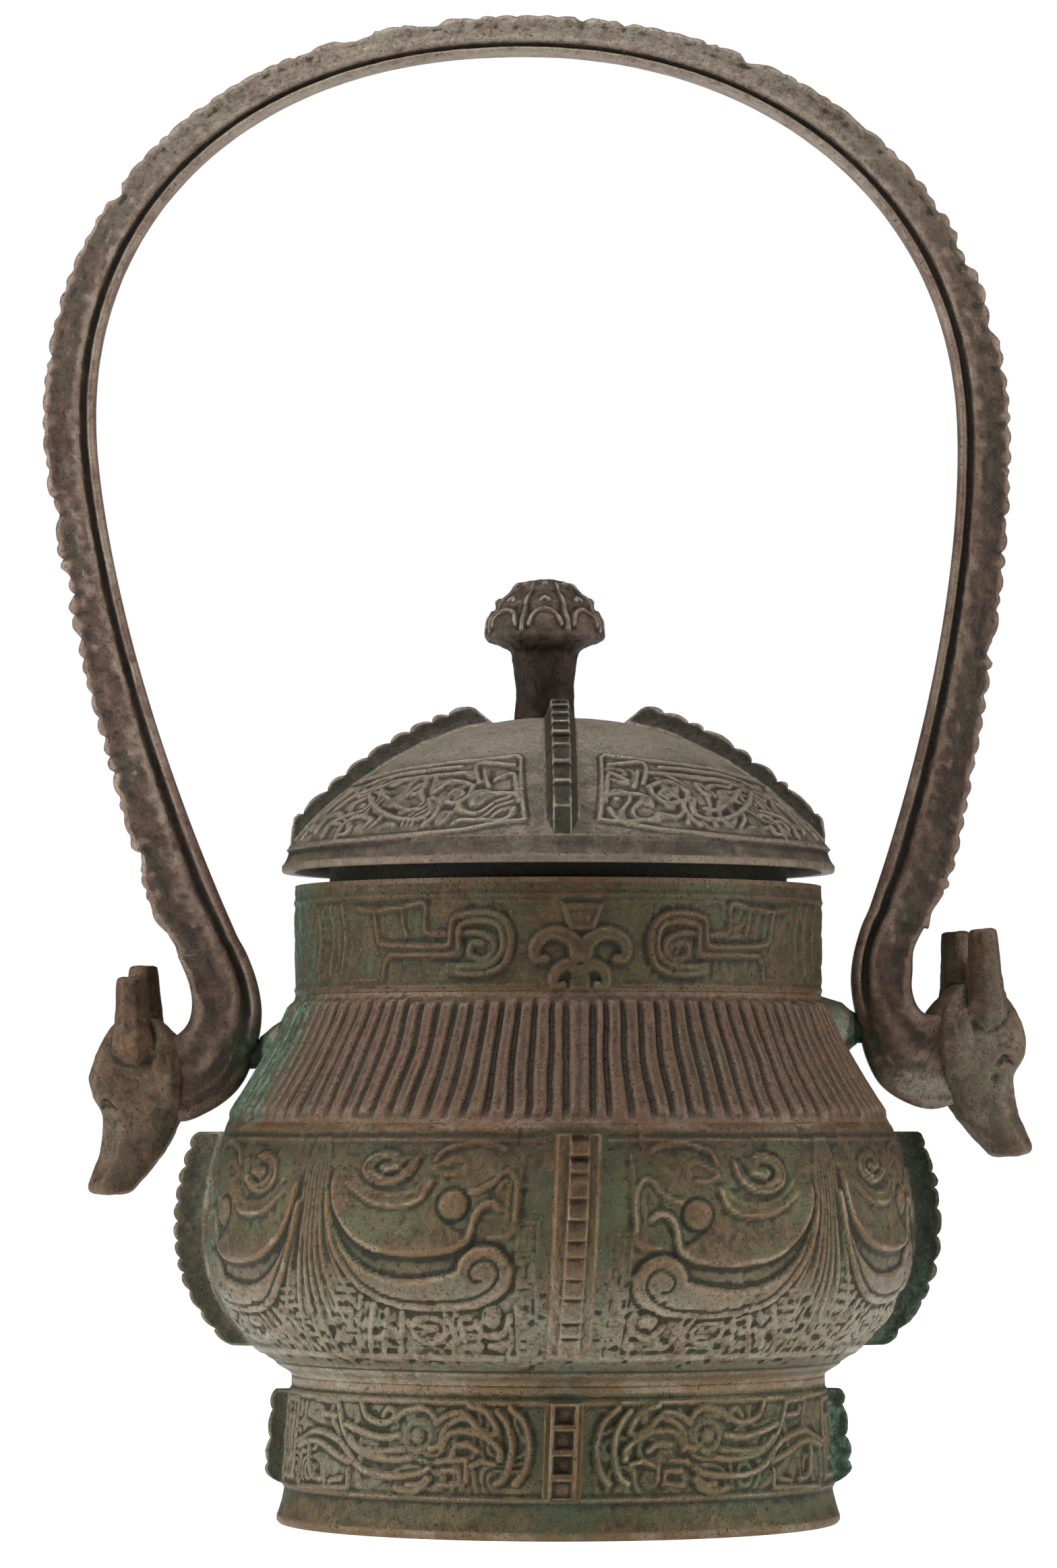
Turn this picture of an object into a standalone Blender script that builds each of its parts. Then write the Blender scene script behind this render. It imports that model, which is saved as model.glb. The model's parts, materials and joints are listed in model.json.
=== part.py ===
"""A lidded ritual wine vessel of cast bronze with a swing handle, in metres, +Z up, standing on its foot ring.

The origin is under the middle of the whole object, at the height of the surface that it stands on. The handle
leans and its two heads differ, so the vessel's axis stands a little to the right of it. -Y is the front. The cast
vessel, its loose lid and its handle are one solid each. Wall profiles are (radius, height) points, and places on
the relief are (share of the way round from a flange, share of the register's height).
"""

import math

import bmesh
import bpy
from mathutils import Matrix, Vector

# Where the vessel's axis stands
AXIS_X = 0.0045

# Vessel wall, from the foot up
WALL = 0.003
FOOT_RADIUS = 0.0673
FOOT_EDGE_HEIGHT = 0.003
FOOT_BAND_RADIUS = 0.0655
FOOT_BAND_LOW = 0.0092
FOOT_BAND_HIGH = 0.0325
WAIST_RADIUS = 0.0637
WAIST_HEIGHT = 0.0352
LEDGE_RADIUS = 0.0676
LEDGE_HEIGHT = 0.0384
BELLY_FOOT_RADIUS = 0.0712
BELLY_FOOT_HEIGHT = 0.0408
BELLY_RADIUS = 0.0839
BELLY_WIDEST_HEIGHT = 0.068
BELLY_ROUNDNESS = 2.2
SHOULDER_RADIUS = 0.0789
SHOULDER_HEIGHT = 0.0953
SHOULDER_ROUNDNESS = 1.25
NECK_RADIUS = 0.0628
NECK_FOOT_HEIGHT = 0.1253
RIM_HEIGHT = 0.1515
COLLAR_RADIUS = 0.0546
FLOOR_HEIGHT = 0.0388
FLOOR_RADIUS = 0.050
TURNING_STEPS = 26
SHOULDER_ROWS = 2
BELLY_ROWS = 4

# Shoulder flutes
FLUTES = 64
FLUTE_DEPTH = 0.0012
FLUTE_SEAT = 0.0001

# Flanges of the vessel and of the lid
FLANGE_THICKNESS = 0.0056
FLANGE_NOTCH = 0.0011
BELLY_FLANGE_RADIUS = 0.0918
BELLY_FLANGE_LOW = 0.0420
BELLY_FLANGE_HIGH = 0.0930
BELLY_FLANGE_TEETH = 10
BELLY_FLANGE_LOW_SHARE = 0.62
BELLY_FLANGE_HIGH_SHARE = 0.38
BELLY_FLANGE_ROUNDNESS = 2.4
FOOT_FLANGE_RADIUS = 0.0702
FOOT_FLANGE_START = 0.0042
FOOT_FLANGE_LEAN = 0.0018
FOOT_FLANGE_TEETH = 4
LID_FLANGE_RISE = 0.0057
LID_FLANGE_TEETH = 7
LID_FLANGE_TIP_RADIUS = 0.021
LID_FLANGE_TIP_LEAN = 0.0059
LID_FLANGE_ROOT_PIECES = 5

# Relief on the vessel and the lid
RELIEF_LIFT = 0.0013
EYE_RADIUS = 0.0038
EYE_LIFT = 0.0022
TWIST_PER_METRE = math.radians(33)
LID_TURN = math.radians(0.6)

# Lid and knob
REST_GAP = 0.0003
LID_RADIUS = 0.0660
LID_RIM_HEIGHT = 0.1548
LID_RIM_THICKNESS = 0.0018
LID_SKIRT_RADIUS = 0.0642
LID_SKIRT_HEIGHT = 0.1610
LID_TOP_HEIGHT = 0.1917
LID_ROUNDNESS = 2.3
KNOB_OFFSET = -0.0032
KNOB_STEM_RADIUS = 0.0069
KNOB_CAP_RADIUS = 0.0144
KNOB_CAP_LOW = 0.2094
KNOB_TOP = 0.2250
KNOB_PETALS = 8

# Hinge and handle, the handle in its own frame with its origin midway between the two hinge pins
HINGE_HEIGHT = 0.1146
HANDLE_LEAN = math.radians(2.43)
PIN_RADIUS = 0.0035
PIN_REACH = 0.0855
PIN_CLEARANCE = 0.0004
ARCH_HALF_WIDTH = 0.1030
ARCH_WIDEST_HEIGHT = 0.146
ARCH_HEIGHT = 0.2362
ARCH_SQUARENESS = 2.15
ARCH_FOOT_HALF_WIDTH = 0.0698
ARCH_FOOT_HEIGHT = 0.014
ARCH_SKEW = 0.0054
STRAP_DEPTH_TOP = 0.0060
STRAP_DEPTH_SIDE = 0.0092
STRAP_DEPTH_FOOT = 0.0172
STRAP_WIDTH = 0.0082
EAR_WIDTH = 0.0150
FOOT_FLARE = 0.0027
FOOT_FLARE_RISE = 0.0258
CREST_HEIGHT = 0.0034
CREST_THICKNESS = 0.0026
CREST_PITCH = 0.0140
CREST_NOTCH = 0.0016
CREST_FOOT_HEIGHT = 0.034
CREST_ROOT_PIECES = 12

# Animal heads
HEAD_ROOT = 0.0925
HEAD_TURN_LEFT = math.radians(9)
HEAD_TURN_RIGHT = math.radians(23)
HEAD_LENGTH = 0.040
HEAD_WIDTH = 0.0176
HORN_RADIUS = 0.0034
HORN_FOOT_RADIUS = 0.0046
HORN_SPREAD = 0.0070
HORN_TOP = 0.0225
HEAD_EYE_RADIUS = 0.0022
HEAD_EYE_TIP_RADIUS = 0.0010
HEAD_EYE_DEPTH = 0.0030
HEAD_CUT_SPREAD = 1.06

PARTS_NAME = "wine_vessel"
BRONZE_METALLIC = 0.55


# Scene and materials


def clear_scene():
    for obj in list(bpy.data.objects):
        bpy.data.objects.remove(obj, do_unlink=True)


def new_collection(name, parent):
    made = bpy.data.collections.new(name)
    parent.children.link(made)
    return made


def bronze(name, colour, roughness):
    made = bpy.data.materials.new(name)
    made.use_nodes = True
    shader = made.node_tree.nodes["Principled BSDF"]
    shader.inputs["Base Color"].default_value = (*colour, 1.0)
    shader.inputs["Roughness"].default_value = roughness
    shader.inputs["Metallic"].default_value = BRONZE_METALLIC
    made.diffuse_color = (*colour, 1.0)
    return made


# Mesh helpers


def add_object(name, mesh, collection, is_part=False):
    obj = bpy.data.objects.new(name, mesh)
    collection.objects.link(obj)
    if not is_part:
        obj.hide_render = True
        obj.display_type = "WIRE"
    return obj


def tidy_mesh(bm, name):
    bmesh.ops.remove_doubles(bm, verts=bm.verts, dist=0.000002)
    bmesh.ops.recalc_face_normals(bm, faces=bm.faces)
    mesh = bpy.data.meshes.new(name)
    bm.to_mesh(mesh)
    bm.free()
    return mesh


def evaluated_mesh(obj):
    graph = bpy.context.evaluated_depsgraph_get()
    return bpy.data.meshes.new_from_object(obj.evaluated_get(graph))


def turned(name, profile, steps, collection, is_part=False):
    """A closed turned shape: the profile starts and ends on the axis and runs down the outer side."""
    mesh = bpy.data.meshes.new(name)
    points = [(radius, 0.0, height) for radius, height in profile]
    mesh.from_pydata(points, [(i, i + 1) for i in range(len(points) - 1)], [])
    obj = add_object(name, mesh, collection, is_part)
    screw = obj.modifiers.new("Turn", "SCREW")
    screw.steps = steps
    screw.render_steps = steps
    screw.use_merge_vertices = True
    screw.merge_threshold = 0.00001
    screw.use_smooth_shade = True
    return obj


def plate(name, outline, thickness, collection):
    """A flat plate in the XZ plane, centred on Y = 0, as a mesh."""
    curve = bpy.data.curves.new(name, "CURVE")
    curve.dimensions = "2D"
    curve.fill_mode = "BOTH"
    curve.extrude = thickness / 2
    spline = curve.splines.new("POLY")
    spline.points.add(len(outline) - 1)
    for point, (across, height) in zip(spline.points, outline):
        point.co = (across, height, 0.0, 1.0)
    spline.use_cyclic_u = True
    guide = add_object(name + "_outline", curve, collection)
    mesh = evaluated_mesh(guide)
    bpy.data.objects.remove(guide, do_unlink=True)
    mesh.transform(Matrix.Rotation(math.pi / 2, 4, "X"))
    bm = bmesh.new()
    bm.from_mesh(mesh)
    return add_object(name, tidy_mesh(bm, name), collection)


def loft(bm, sections):
    """A closed skin through sections that have the same number of points."""
    rings = [[bm.verts.new(point) for point in section] for section in sections]
    count = len(rings[0])
    for low, high in zip(rings, rings[1:]):
        for i in range(count):
            j = (i + 1) % count
            bm.faces.new((low[i], low[j], high[j], high[i]))
    bm.faces.new(rings[0])
    bm.faces.new(rings[-1])


def stand_on_axis(obj, details):
    for piece in (obj, *details.objects):
        piece.location.x = AXIS_X


def union(obj, details, name):
    join = obj.modifiers.new(name, "BOOLEAN")
    join.operation = "UNION"
    join.operand_type = "COLLECTION"
    join.collection = details
    join.solver = "EXACT"
    join.use_self = True


# Wall profiles


def foot_radius(height):
    share = (height - FOOT_BAND_LOW) / (FOOT_BAND_HIGH - FOOT_BAND_LOW)
    return FOOT_BAND_RADIUS + (WAIST_RADIUS - FOOT_BAND_RADIUS) * share


def belly_radius(height):
    if height < BELLY_WIDEST_HEIGHT:
        share = (BELLY_WIDEST_HEIGHT - height) / (BELLY_WIDEST_HEIGHT - BELLY_FOOT_HEIGHT)
        return BELLY_RADIUS - (BELLY_RADIUS - BELLY_FOOT_RADIUS) * share ** BELLY_ROUNDNESS
    share = (height - BELLY_WIDEST_HEIGHT) / (SHOULDER_HEIGHT - BELLY_WIDEST_HEIGHT)
    return BELLY_RADIUS - (BELLY_RADIUS - SHOULDER_RADIUS) * share ** 2


def shoulder_radius(height):
    share = max(NECK_FOOT_HEIGHT - height, 0.0) / (NECK_FOOT_HEIGHT - SHOULDER_HEIGHT)
    return NECK_RADIUS + (SHOULDER_RADIUS - NECK_RADIUS) * share ** SHOULDER_ROUNDNESS


def neck_radius(height):
    return NECK_RADIUS


def lid_height(radius, inset=0.0):
    """Height of the dome at a radius, or of its inner face where inset is the wall."""
    share = radius / (LID_SKIRT_RADIUS - inset)
    return LID_TOP_HEIGHT - inset - (LID_TOP_HEIGHT - LID_SKIRT_HEIGHT) * share ** LID_ROUNDNESS


def lid_radius(height):
    share = (LID_TOP_HEIGHT - height) / (LID_TOP_HEIGHT - LID_SKIRT_HEIGHT)
    return LID_SKIRT_RADIUS * share ** (1 / LID_ROUNDNESS)


def heights(low, high, count):
    """Evenly spaced heights from low to high, with count steps between them."""
    steps = round(count)
    return [low + (high - low) * i / steps for i in range(steps + 1)]


def twist_at(height):
    return TWIST_PER_METRE * height


def lid_turn_at(height):
    return LID_TURN


# Relief strokes


class Register:
    """A band of the wall that carries relief: where it starts and ends, how wide it is and how it is turned."""

    def __init__(self, low, high, span, radius_at, turn_at):
        self.low = low
        self.high = high
        self.span = span
        self.radius_at = radius_at
        self.turn_at = turn_at

    def point(self, flange, side, across, up, out):
        height = self.low + (self.high - self.low) * up
        angle = flange + side * across * self.span + self.turn_at(height)
        radius = self.radius_at(height) + out
        return Vector((radius * math.sin(angle), -radius * math.cos(angle), height))

    def stroke(self, bm, flange, side, path, half_width, lift=RELIEF_LIFT):
        """A raised ridge along a path of (across, up) points."""
        last = len(path) - 1
        sections = []
        for i, (across, up) in enumerate(path):
            here = self.point(flange, side, across, up, 0)
            before = self.point(flange, side, *path[max(i - 1, 0)], 0)
            after = self.point(flange, side, *path[min(i + 1, last)], 0)
            outward = Vector((here.x, here.y, 0)).normalized()
            sideways = (after - before).cross(outward).normalized()
            width = half_width * (0.5 if i in (0, last) else 1.0)
            sink = -outward * WALL / 3
            sections.append((
                here - sideways * width + sink,
                here + outward * lift,
                here + sideways * width + sink,
            ))
        loft(bm, sections)

    def boss(self, bm, flange, side, across, up, radius, lift):
        """A round eye that stands out of the wall."""
        here = self.point(flange, side, across, up, 0)
        outward = Vector((here.x, here.y, 0)).normalized()
        place = Matrix.Translation(here + outward * (lift - WALL / 3) / 2)
        place = place @ outward.to_track_quat("Z", "Y").to_matrix().to_4x4()
        bmesh.ops.create_cone(bm, cap_ends=True, segments=6, radius1=radius, radius2=radius * 0.45,
                              depth=lift + WALL / 3, matrix=place)


QUARTERS = [math.pi / 2 * i for i in range(4)]
FRONT_AND_BACK = QUARTERS[::2]
BELLY = Register(BELLY_FOOT_HEIGHT, SHOULDER_HEIGHT, math.pi / 4, belly_radius, twist_at)
NECK = Register(NECK_FOOT_HEIGHT, RIM_HEIGHT, math.pi / 4, neck_radius, twist_at)
FOOT = Register(FOOT_BAND_LOW, FOOT_BAND_HIGH, math.pi / 2, foot_radius, twist_at)
LID = Register(LID_SKIRT_HEIGHT, LID_TOP_HEIGHT, math.pi / 2, lid_radius, lid_turn_at)


def belly_masks(collection):
    """Four animal masks, each parted by a flange: curled horn, eye, swept bands and a scrolled jaw."""
    horn = [(0.48, 0.88), (0.60, 0.74), (0.75, 0.85)]
    cheek = [(0.92, 0.70), (0.76, 0.52), (0.52, 0.43), (0.29, 0.54)]
    jaw = [(0.88, 0.50), (0.66, 0.30), (0.32, 0.25), (0.22, 0.44)]
    bm = bmesh.new()
    for flange in QUARTERS:
        for side in (-1, 1):
            BELLY.stroke(bm, flange, side, horn, 0.0019)
            BELLY.stroke(bm, flange, side, cheek, 0.0025)
            BELLY.stroke(bm, flange, side, jaw, 0.0022)
            BELLY.boss(bm, flange, side, 0.385, 0.68, EYE_RADIUS, EYE_LIFT)
    add_object("belly_masks", tidy_mesh(bm, "belly_masks"), collection)


def neck_scrolls(collection):
    """A stepped ornament with a curl at each side on every quarter, between angular scrolls."""
    crown = [(0.0, 0.80), (0.0, 0.52)]
    curl = [(0.05, 0.30), (0.22, 0.46)]
    hook = [(0.38, 0.28), (0.40, 0.60), (0.60, 0.44), (0.97, 0.40)]
    bm = bmesh.new()
    for flange in QUARTERS:
        NECK.stroke(bm, flange, 1, crown, 0.0034)
        for side in (-1, 1):
            NECK.stroke(bm, flange, side, curl, 0.0015)
            NECK.stroke(bm, flange, side, hook, 0.0014, RELIEF_LIFT * 0.8)
    add_object("neck_scrolls", tidy_mesh(bm, "neck_scrolls"), collection)


def foot_dragons(collection):
    """Four crouching dragons, two facing the front flange and two the back one."""
    crest = [(0.60, 0.92), (0.52, 0.46), (0.32, 0.30)]
    tail = [(0.84, 0.52), (0.70, 0.70), (0.56, 0.20)]
    beak = [(0.13, 0.90), (0.08, 0.50), (0.14, 0.12)]
    bm = bmesh.new()
    for flange in FRONT_AND_BACK:
        for side in (-1, 1):
            FOOT.stroke(bm, flange, side, crest, 0.0018)
            FOOT.stroke(bm, flange, side, tail, 0.0014, RELIEF_LIFT * 0.8)
            FOOT.stroke(bm, flange, side, beak, 0.0014, RELIEF_LIFT * 0.8)
            FOOT.boss(bm, flange, side, 0.35, 0.62, EYE_RADIUS * 0.7, EYE_LIFT * 0.7)
    add_object("foot_dragons", tidy_mesh(bm, "foot_dragons"), collection)


def lid_birds(collection):
    """Four crested birds round the foot of the dome."""
    crest = [(0.68, 0.20), (0.50, 0.46), (0.28, 0.28)]
    wing = [(0.82, 0.10), (0.42, 0.08)]
    bm = bmesh.new()
    for flange in FRONT_AND_BACK:
        for side in (-1, 1):
            LID.stroke(bm, flange, side, crest, 0.0018)
            LID.stroke(bm, flange, side, wing, 0.0015)
            LID.boss(bm, flange, side, 0.46, 0.27, EYE_RADIUS * 0.6, EYE_LIFT * 0.6)
    add_object("lid_birds", tidy_mesh(bm, "lid_birds"), collection)


# Flanges


def notched_edge(edge, teeth, depth):
    """Points along an edge with a notch before each tooth. edge(t) gives a point and its outward direction."""
    points = []
    for i in range(teeth):
        for share, inward in ((0.0, depth), (0.22, 0.0), (0.78, 0.0)):
            if i == 0 and share == 0.0:
                continue
            point, outward = edge((i + share) / teeth)
            points.append(tuple(point - outward * inward))
    return points


def along(curve):
    """An edge from a curve function: the point at t, and the direction to the left of its travel."""
    def edge(t):
        step = 0.001
        here = Vector(curve(t))
        travel = Vector(curve(min(t + step, 1.0))) - Vector(curve(max(t - step, 0.0)))
        return here, Vector((-travel.y, travel.x)).normalized()
    return edge


def stand_on_wall(obj, flange, turn_at):
    """Turns a plate that stands in the XZ plane to its quarter, following the twist of the casting."""
    for vertex in obj.data.vertices:
        angle = flange + turn_at(vertex.co.z) - math.pi / 2
        vertex.co = Matrix.Rotation(angle, 3, "Z") @ vertex.co


def belly_flange_outline():
    middle = BELLY_WIDEST_HEIGHT + WALL
    fall_low = (BELLY_FLANGE_RADIUS - BELLY_FOOT_RADIUS) * BELLY_FLANGE_LOW_SHARE
    fall_high = (BELLY_FLANGE_RADIUS - SHOULDER_RADIUS) * BELLY_FLANGE_HIGH_SHARE

    def curve(t):
        height = BELLY_FLANGE_LOW + (BELLY_FLANGE_HIGH - BELLY_FLANGE_LOW) * t
        if height < middle:
            share = (middle - height) / (middle - BELLY_FLANGE_LOW)
            return BELLY_FLANGE_RADIUS - fall_low * share ** BELLY_FLANGE_ROUNDNESS, height
        share = (height - middle) / (BELLY_FLANGE_HIGH - middle)
        return BELLY_FLANGE_RADIUS - fall_high * share ** 2, height

    def edge(t):
        here, left = along(curve)(t)
        return here, -left

    outline = notched_edge(edge, BELLY_FLANGE_TEETH, FLANGE_NOTCH)
    root = [
        (belly_radius(height) - WALL / 2, height)
        for height in heights(BELLY_FLANGE_HIGH, BELLY_FOOT_HEIGHT + WALL / 3, 5)
    ]
    return outline + root


def foot_flange_outline():
    low = FOOT_BAND_LOW + FOOT_FLANGE_START
    high = FOOT_BAND_HIGH - WALL / 2

    def curve(t):
        return FOOT_FLANGE_RADIUS - FOOT_FLANGE_LEAN * t, low + (high - low) * t

    def edge(t):
        here, left = along(curve)(t)
        return here, -left

    outline = notched_edge(edge, FOOT_FLANGE_TEETH, FLANGE_NOTCH)
    root = [(foot_radius(height) - WALL / 2, height) for height in (high, FOOT_BAND_LOW)]
    return outline + root


def lid_flange_outline():
    outer = LID_SKIRT_RADIUS - WALL / 3

    def curve(t):
        radius = outer + (LID_FLANGE_TIP_RADIUS - outer) * t
        return radius, lid_height(radius) + LID_FLANGE_RISE

    def edge(t):
        here, left = along(curve)(t)
        return here, -left

    outline = [(LID_RADIUS - WALL / 2, LID_RIM_HEIGHT + LID_RIM_THICKNESS)]
    outline += notched_edge(edge, LID_FLANGE_TEETH, FLANGE_NOTCH)
    foot = LID_FLANGE_TIP_RADIUS - LID_FLANGE_TIP_LEAN
    root_radii = heights(foot, outer - WALL, LID_FLANGE_ROOT_PIECES)
    outline += [(radius, lid_height(radius) - WALL / 2) for radius in root_radii]
    outline.append((LID_SKIRT_RADIUS - WALL / 2, LID_RIM_HEIGHT + LID_RIM_THICKNESS))
    return outline


def add_flanges(name, outline, turn_at, collection):
    for i, flange in enumerate(QUARTERS):
        obj = plate(f"{name}_{i}", outline, FLANGE_THICKNESS, collection)
        stand_on_wall(obj, flange, turn_at)


# Vessel


def vessel_profile():
    seat = lid_height(COLLAR_RADIUS, WALL) - REST_GAP
    profile = [(0.0, FLOOR_HEIGHT), (FLOOR_RADIUS, FLOOR_HEIGHT)]
    profile += [
        (belly_radius(height) - WALL, height)
        for height in (FLOOR_HEIGHT + WALL * 3, BELLY_WIDEST_HEIGHT)
    ]
    profile += [
        (shoulder_radius(height) - WALL, height)
        for height in heights(SHOULDER_HEIGHT, NECK_FOOT_HEIGHT, SHOULDER_ROWS)
    ]
    profile += [
        (NECK_RADIUS - WALL, RIM_HEIGHT - WALL),
        (COLLAR_RADIUS - WALL, RIM_HEIGHT - WALL),
        (COLLAR_RADIUS - WALL, seat),
        (COLLAR_RADIUS, seat),
        (COLLAR_RADIUS, RIM_HEIGHT),
        (NECK_RADIUS, RIM_HEIGHT),
        (NECK_RADIUS, NECK_FOOT_HEIGHT),
    ]
    profile += [
        (shoulder_radius(height), height)
        for height in heights(NECK_FOOT_HEIGHT, SHOULDER_HEIGHT, SHOULDER_ROWS)[1:-1]
    ]
    profile += [
        (belly_radius(height), height)
        for height in heights(SHOULDER_HEIGHT, BELLY_FOOT_HEIGHT, BELLY_ROWS)
    ]
    profile += [
        (LEDGE_RADIUS, LEDGE_HEIGHT),
        (WAIST_RADIUS, WAIST_HEIGHT),
        (FOOT_BAND_RADIUS, FOOT_BAND_LOW),
        (FOOT_RADIUS, FOOT_EDGE_HEIGHT),
        (FOOT_RADIUS, 0.0),
        (FOOT_RADIUS - WALL, 0.0),
        (FOOT_BAND_RADIUS - WALL, FOOT_BAND_LOW),
        (WAIST_RADIUS - WALL, WAIST_HEIGHT - WALL),
        (FLOOR_RADIUS, FLOOR_HEIGHT - WALL),
        (0.0, FLOOR_HEIGHT - WALL),
    ]
    return profile


def add_flutes(collection):
    """The ribbed ring of the shoulder: a turned ring whose every other column of points is drawn in."""
    rows = heights(NECK_FOOT_HEIGHT, SHOULDER_HEIGHT, SHOULDER_ROWS)
    bm = bmesh.new()
    columns = 2 * FLUTES
    rings = []
    for column in range(columns):
        out = FLUTE_SEAT + (0.0 if column % 2 else FLUTE_DEPTH)
        profile = [(shoulder_radius(height) + out, height) for height in rows]
        profile += [(shoulder_radius(height) - WALL * 0.7, height) for height in (rows[-1], rows[0])]
        ring = []
        for radius, height in profile:
            angle = 2 * math.pi * column / columns + twist_at(height)
            ring.append(bm.verts.new((radius * math.sin(angle), -radius * math.cos(angle), height)))
        rings.append(ring)
    for here, there in zip(rings, rings[1:] + rings[:1]):
        for i in range(len(here)):
            j = (i + 1) % len(here)
            bm.faces.new((here[i], here[j], there[j], there[i]))
    bmesh.ops.triangulate(bm, faces=bm.faces)
    add_object("flutes", tidy_mesh(bm, "flutes"), collection)


def add_hinge_pins(collection):
    """One pin cast on each side of the shoulder, on the handle's leaning axis."""
    lean = Matrix.Translation((0, 0, HINGE_HEIGHT)) @ Matrix.Rotation(-HANDLE_LEAN, 4, "Y")
    bm = bmesh.new()
    for side in (-1, 1):
        root = shoulder_radius(HINGE_HEIGHT) - WALL / 2
        length = PIN_REACH - root
        place = lean @ Matrix.Translation((side * (root + length / 2), 0, 0))
        place = place @ Matrix.Rotation(math.pi / 2, 4, "Y")
        bmesh.ops.create_cone(bm, cap_ends=True, segments=12, radius1=PIN_RADIUS, radius2=PIN_RADIUS,
                              depth=length, matrix=place)
    add_object("hinge_pins", tidy_mesh(bm, "hinge_pins"), collection)


def vessel_details(guides):
    details = new_collection("vessel_details", guides)
    add_flutes(details)
    belly_masks(details)
    neck_scrolls(details)
    foot_dragons(details)
    add_flanges("belly_flange", belly_flange_outline(), twist_at, details)
    add_flanges("foot_flange", foot_flange_outline(), twist_at, details)
    add_hinge_pins(details)
    return details


def build_vessel(parts, details, finish):
    vessel = turned("vessel", vessel_profile(), TURNING_STEPS, parts, is_part=True)
    stand_on_axis(vessel, details)
    union(vessel, details, "Join the relief")
    vessel.data.materials.append(finish)


# Lid


def lid_profile():
    """Down the outer side of the dome, round the rim and back up inside."""
    radii = [LID_SKIRT_RADIUS * share for share in (0.0, 0.30, 0.54, 0.74, 0.90, 1.0)]
    profile = [(radius, lid_height(radius)) for radius in radii]
    profile += [
        (LID_RADIUS, LID_RIM_HEIGHT + LID_RIM_THICKNESS),
        (LID_RADIUS, LID_RIM_HEIGHT),
        (LID_RADIUS - WALL, LID_RIM_HEIGHT),
    ]
    inner = LID_SKIRT_RADIUS - WALL
    inner_radii = [inner, COLLAR_RADIUS, inner * 0.60, 0.0]
    profile += [(radius, lid_height(radius, WALL)) for radius in inner_radii]
    return profile


def add_knob(collection):
    """A mushroom knob with gabled petals on its cap, set a little off the lid's centre as it was cast."""
    rise = KNOB_TOP - KNOB_CAP_LOW
    profile = [(0.0, KNOB_TOP)]
    profile += [
        (KNOB_CAP_RADIUS * share, KNOB_TOP - rise * drop)
        for share, drop in ((0.36, 0.05), (0.66, 0.24), (0.90, 0.52), (1.0, 0.80))
    ]
    profile += [
        (KNOB_CAP_RADIUS * 0.80, KNOB_CAP_LOW),
        (KNOB_STEM_RADIUS * 1.12, KNOB_CAP_LOW - rise * 0.25),
        (KNOB_STEM_RADIUS, KNOB_CAP_LOW - rise * 0.50),
        (KNOB_STEM_RADIUS, LID_TOP_HEIGHT - WALL / 2),
        (0.0, LID_TOP_HEIGHT - WALL / 2),
    ]
    steps = 2 * KNOB_PETALS
    guide = turned("knob_profile", profile, steps, collection)
    mesh = evaluated_mesh(guide)
    bpy.data.objects.remove(guide, do_unlink=True)
    bm = bmesh.new()
    bm.from_mesh(mesh)
    for vertex in bm.verts:
        if vertex.co.z > KNOB_CAP_LOW + rise * 0.1:
            column = round(math.atan2(vertex.co.y, vertex.co.x) / (2 * math.pi) * steps)
            if column % 2:
                vertex.co.x *= 0.93
                vertex.co.y *= 0.93
    bmesh.ops.translate(bm, verts=bm.verts, vec=(KNOB_OFFSET, 0, 0))
    bmesh.ops.triangulate(bm, faces=bm.faces)
    add_object("knob", tidy_mesh(bm, "knob"), collection)


def lid_details(guides):
    details = new_collection("lid_details", guides)
    add_flanges("lid_flange", lid_flange_outline(), lid_turn_at, details)
    lid_birds(details)
    add_knob(details)
    return details


def build_lid(parts, details, finish):
    lid = turned("lid", lid_profile(), TURNING_STEPS, parts, is_part=True)
    stand_on_axis(lid, details)
    union(lid, details, "Join the relief")
    lid.data.materials.append(finish)


# Handle


def inner_half_width(height):
    """Half the opening between the two sides of the strap, below its widest place."""
    share = (ARCH_WIDEST_HEIGHT - height) / (ARCH_WIDEST_HEIGHT - ARCH_FOOT_HEIGHT)
    return ARCH_HALF_WIDTH - (ARCH_HALF_WIDTH - ARCH_FOOT_HALF_WIDTH) * share ** 1.7


def strap_depth(height):
    if height < ARCH_WIDEST_HEIGHT:
        share = (ARCH_WIDEST_HEIGHT - height) / (ARCH_WIDEST_HEIGHT - ARCH_FOOT_HEIGHT)
        return STRAP_DEPTH_SIDE + (STRAP_DEPTH_FOOT - STRAP_DEPTH_SIDE) * share ** 3
    share = (height - ARCH_WIDEST_HEIGHT) / (ARCH_HEIGHT - ARCH_WIDEST_HEIGHT)
    return STRAP_DEPTH_SIDE + (STRAP_DEPTH_TOP - STRAP_DEPTH_SIDE) * share ** 2


def arch_path(side_count, crown_count, foot=ARCH_FOOT_HEIGHT):
    """The inner edge of the strap, up the left side and down the right, as (across, height)."""
    rise = heights(foot, ARCH_WIDEST_HEIGHT, side_count)[:-1]
    path = [(-inner_half_width(height), height) for height in rise]
    for i in range(2 * crown_count + 1):
        angle = math.pi * i / (2 * crown_count)
        across = abs(math.cos(angle)) ** (2 / ARCH_SQUARENESS) * ARCH_HALF_WIDTH
        up = max(math.sin(angle), 0.0) ** (2 / ARCH_SQUARENESS)
        path.append((
            math.copysign(across, i - crown_count),
            ARCH_WIDEST_HEIGHT + (ARCH_HEIGHT - ARCH_WIDEST_HEIGHT) * up,
        ))
    path += [(inner_half_width(height), height) for height in reversed(rise)]
    skewed = [(x - ARCH_SKEW * (height / ARCH_HEIGHT) ** 3, height) for x, height in path]
    return [Vector(point) for point in skewed]


def outward_of(path, i):
    """The direction out of the arch at a point of its inner edge."""
    travel = path[min(i + 1, len(path) - 1)] - path[max(i - 1, 0)]
    return Vector((-travel.y, travel.x)).normalized()


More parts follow.
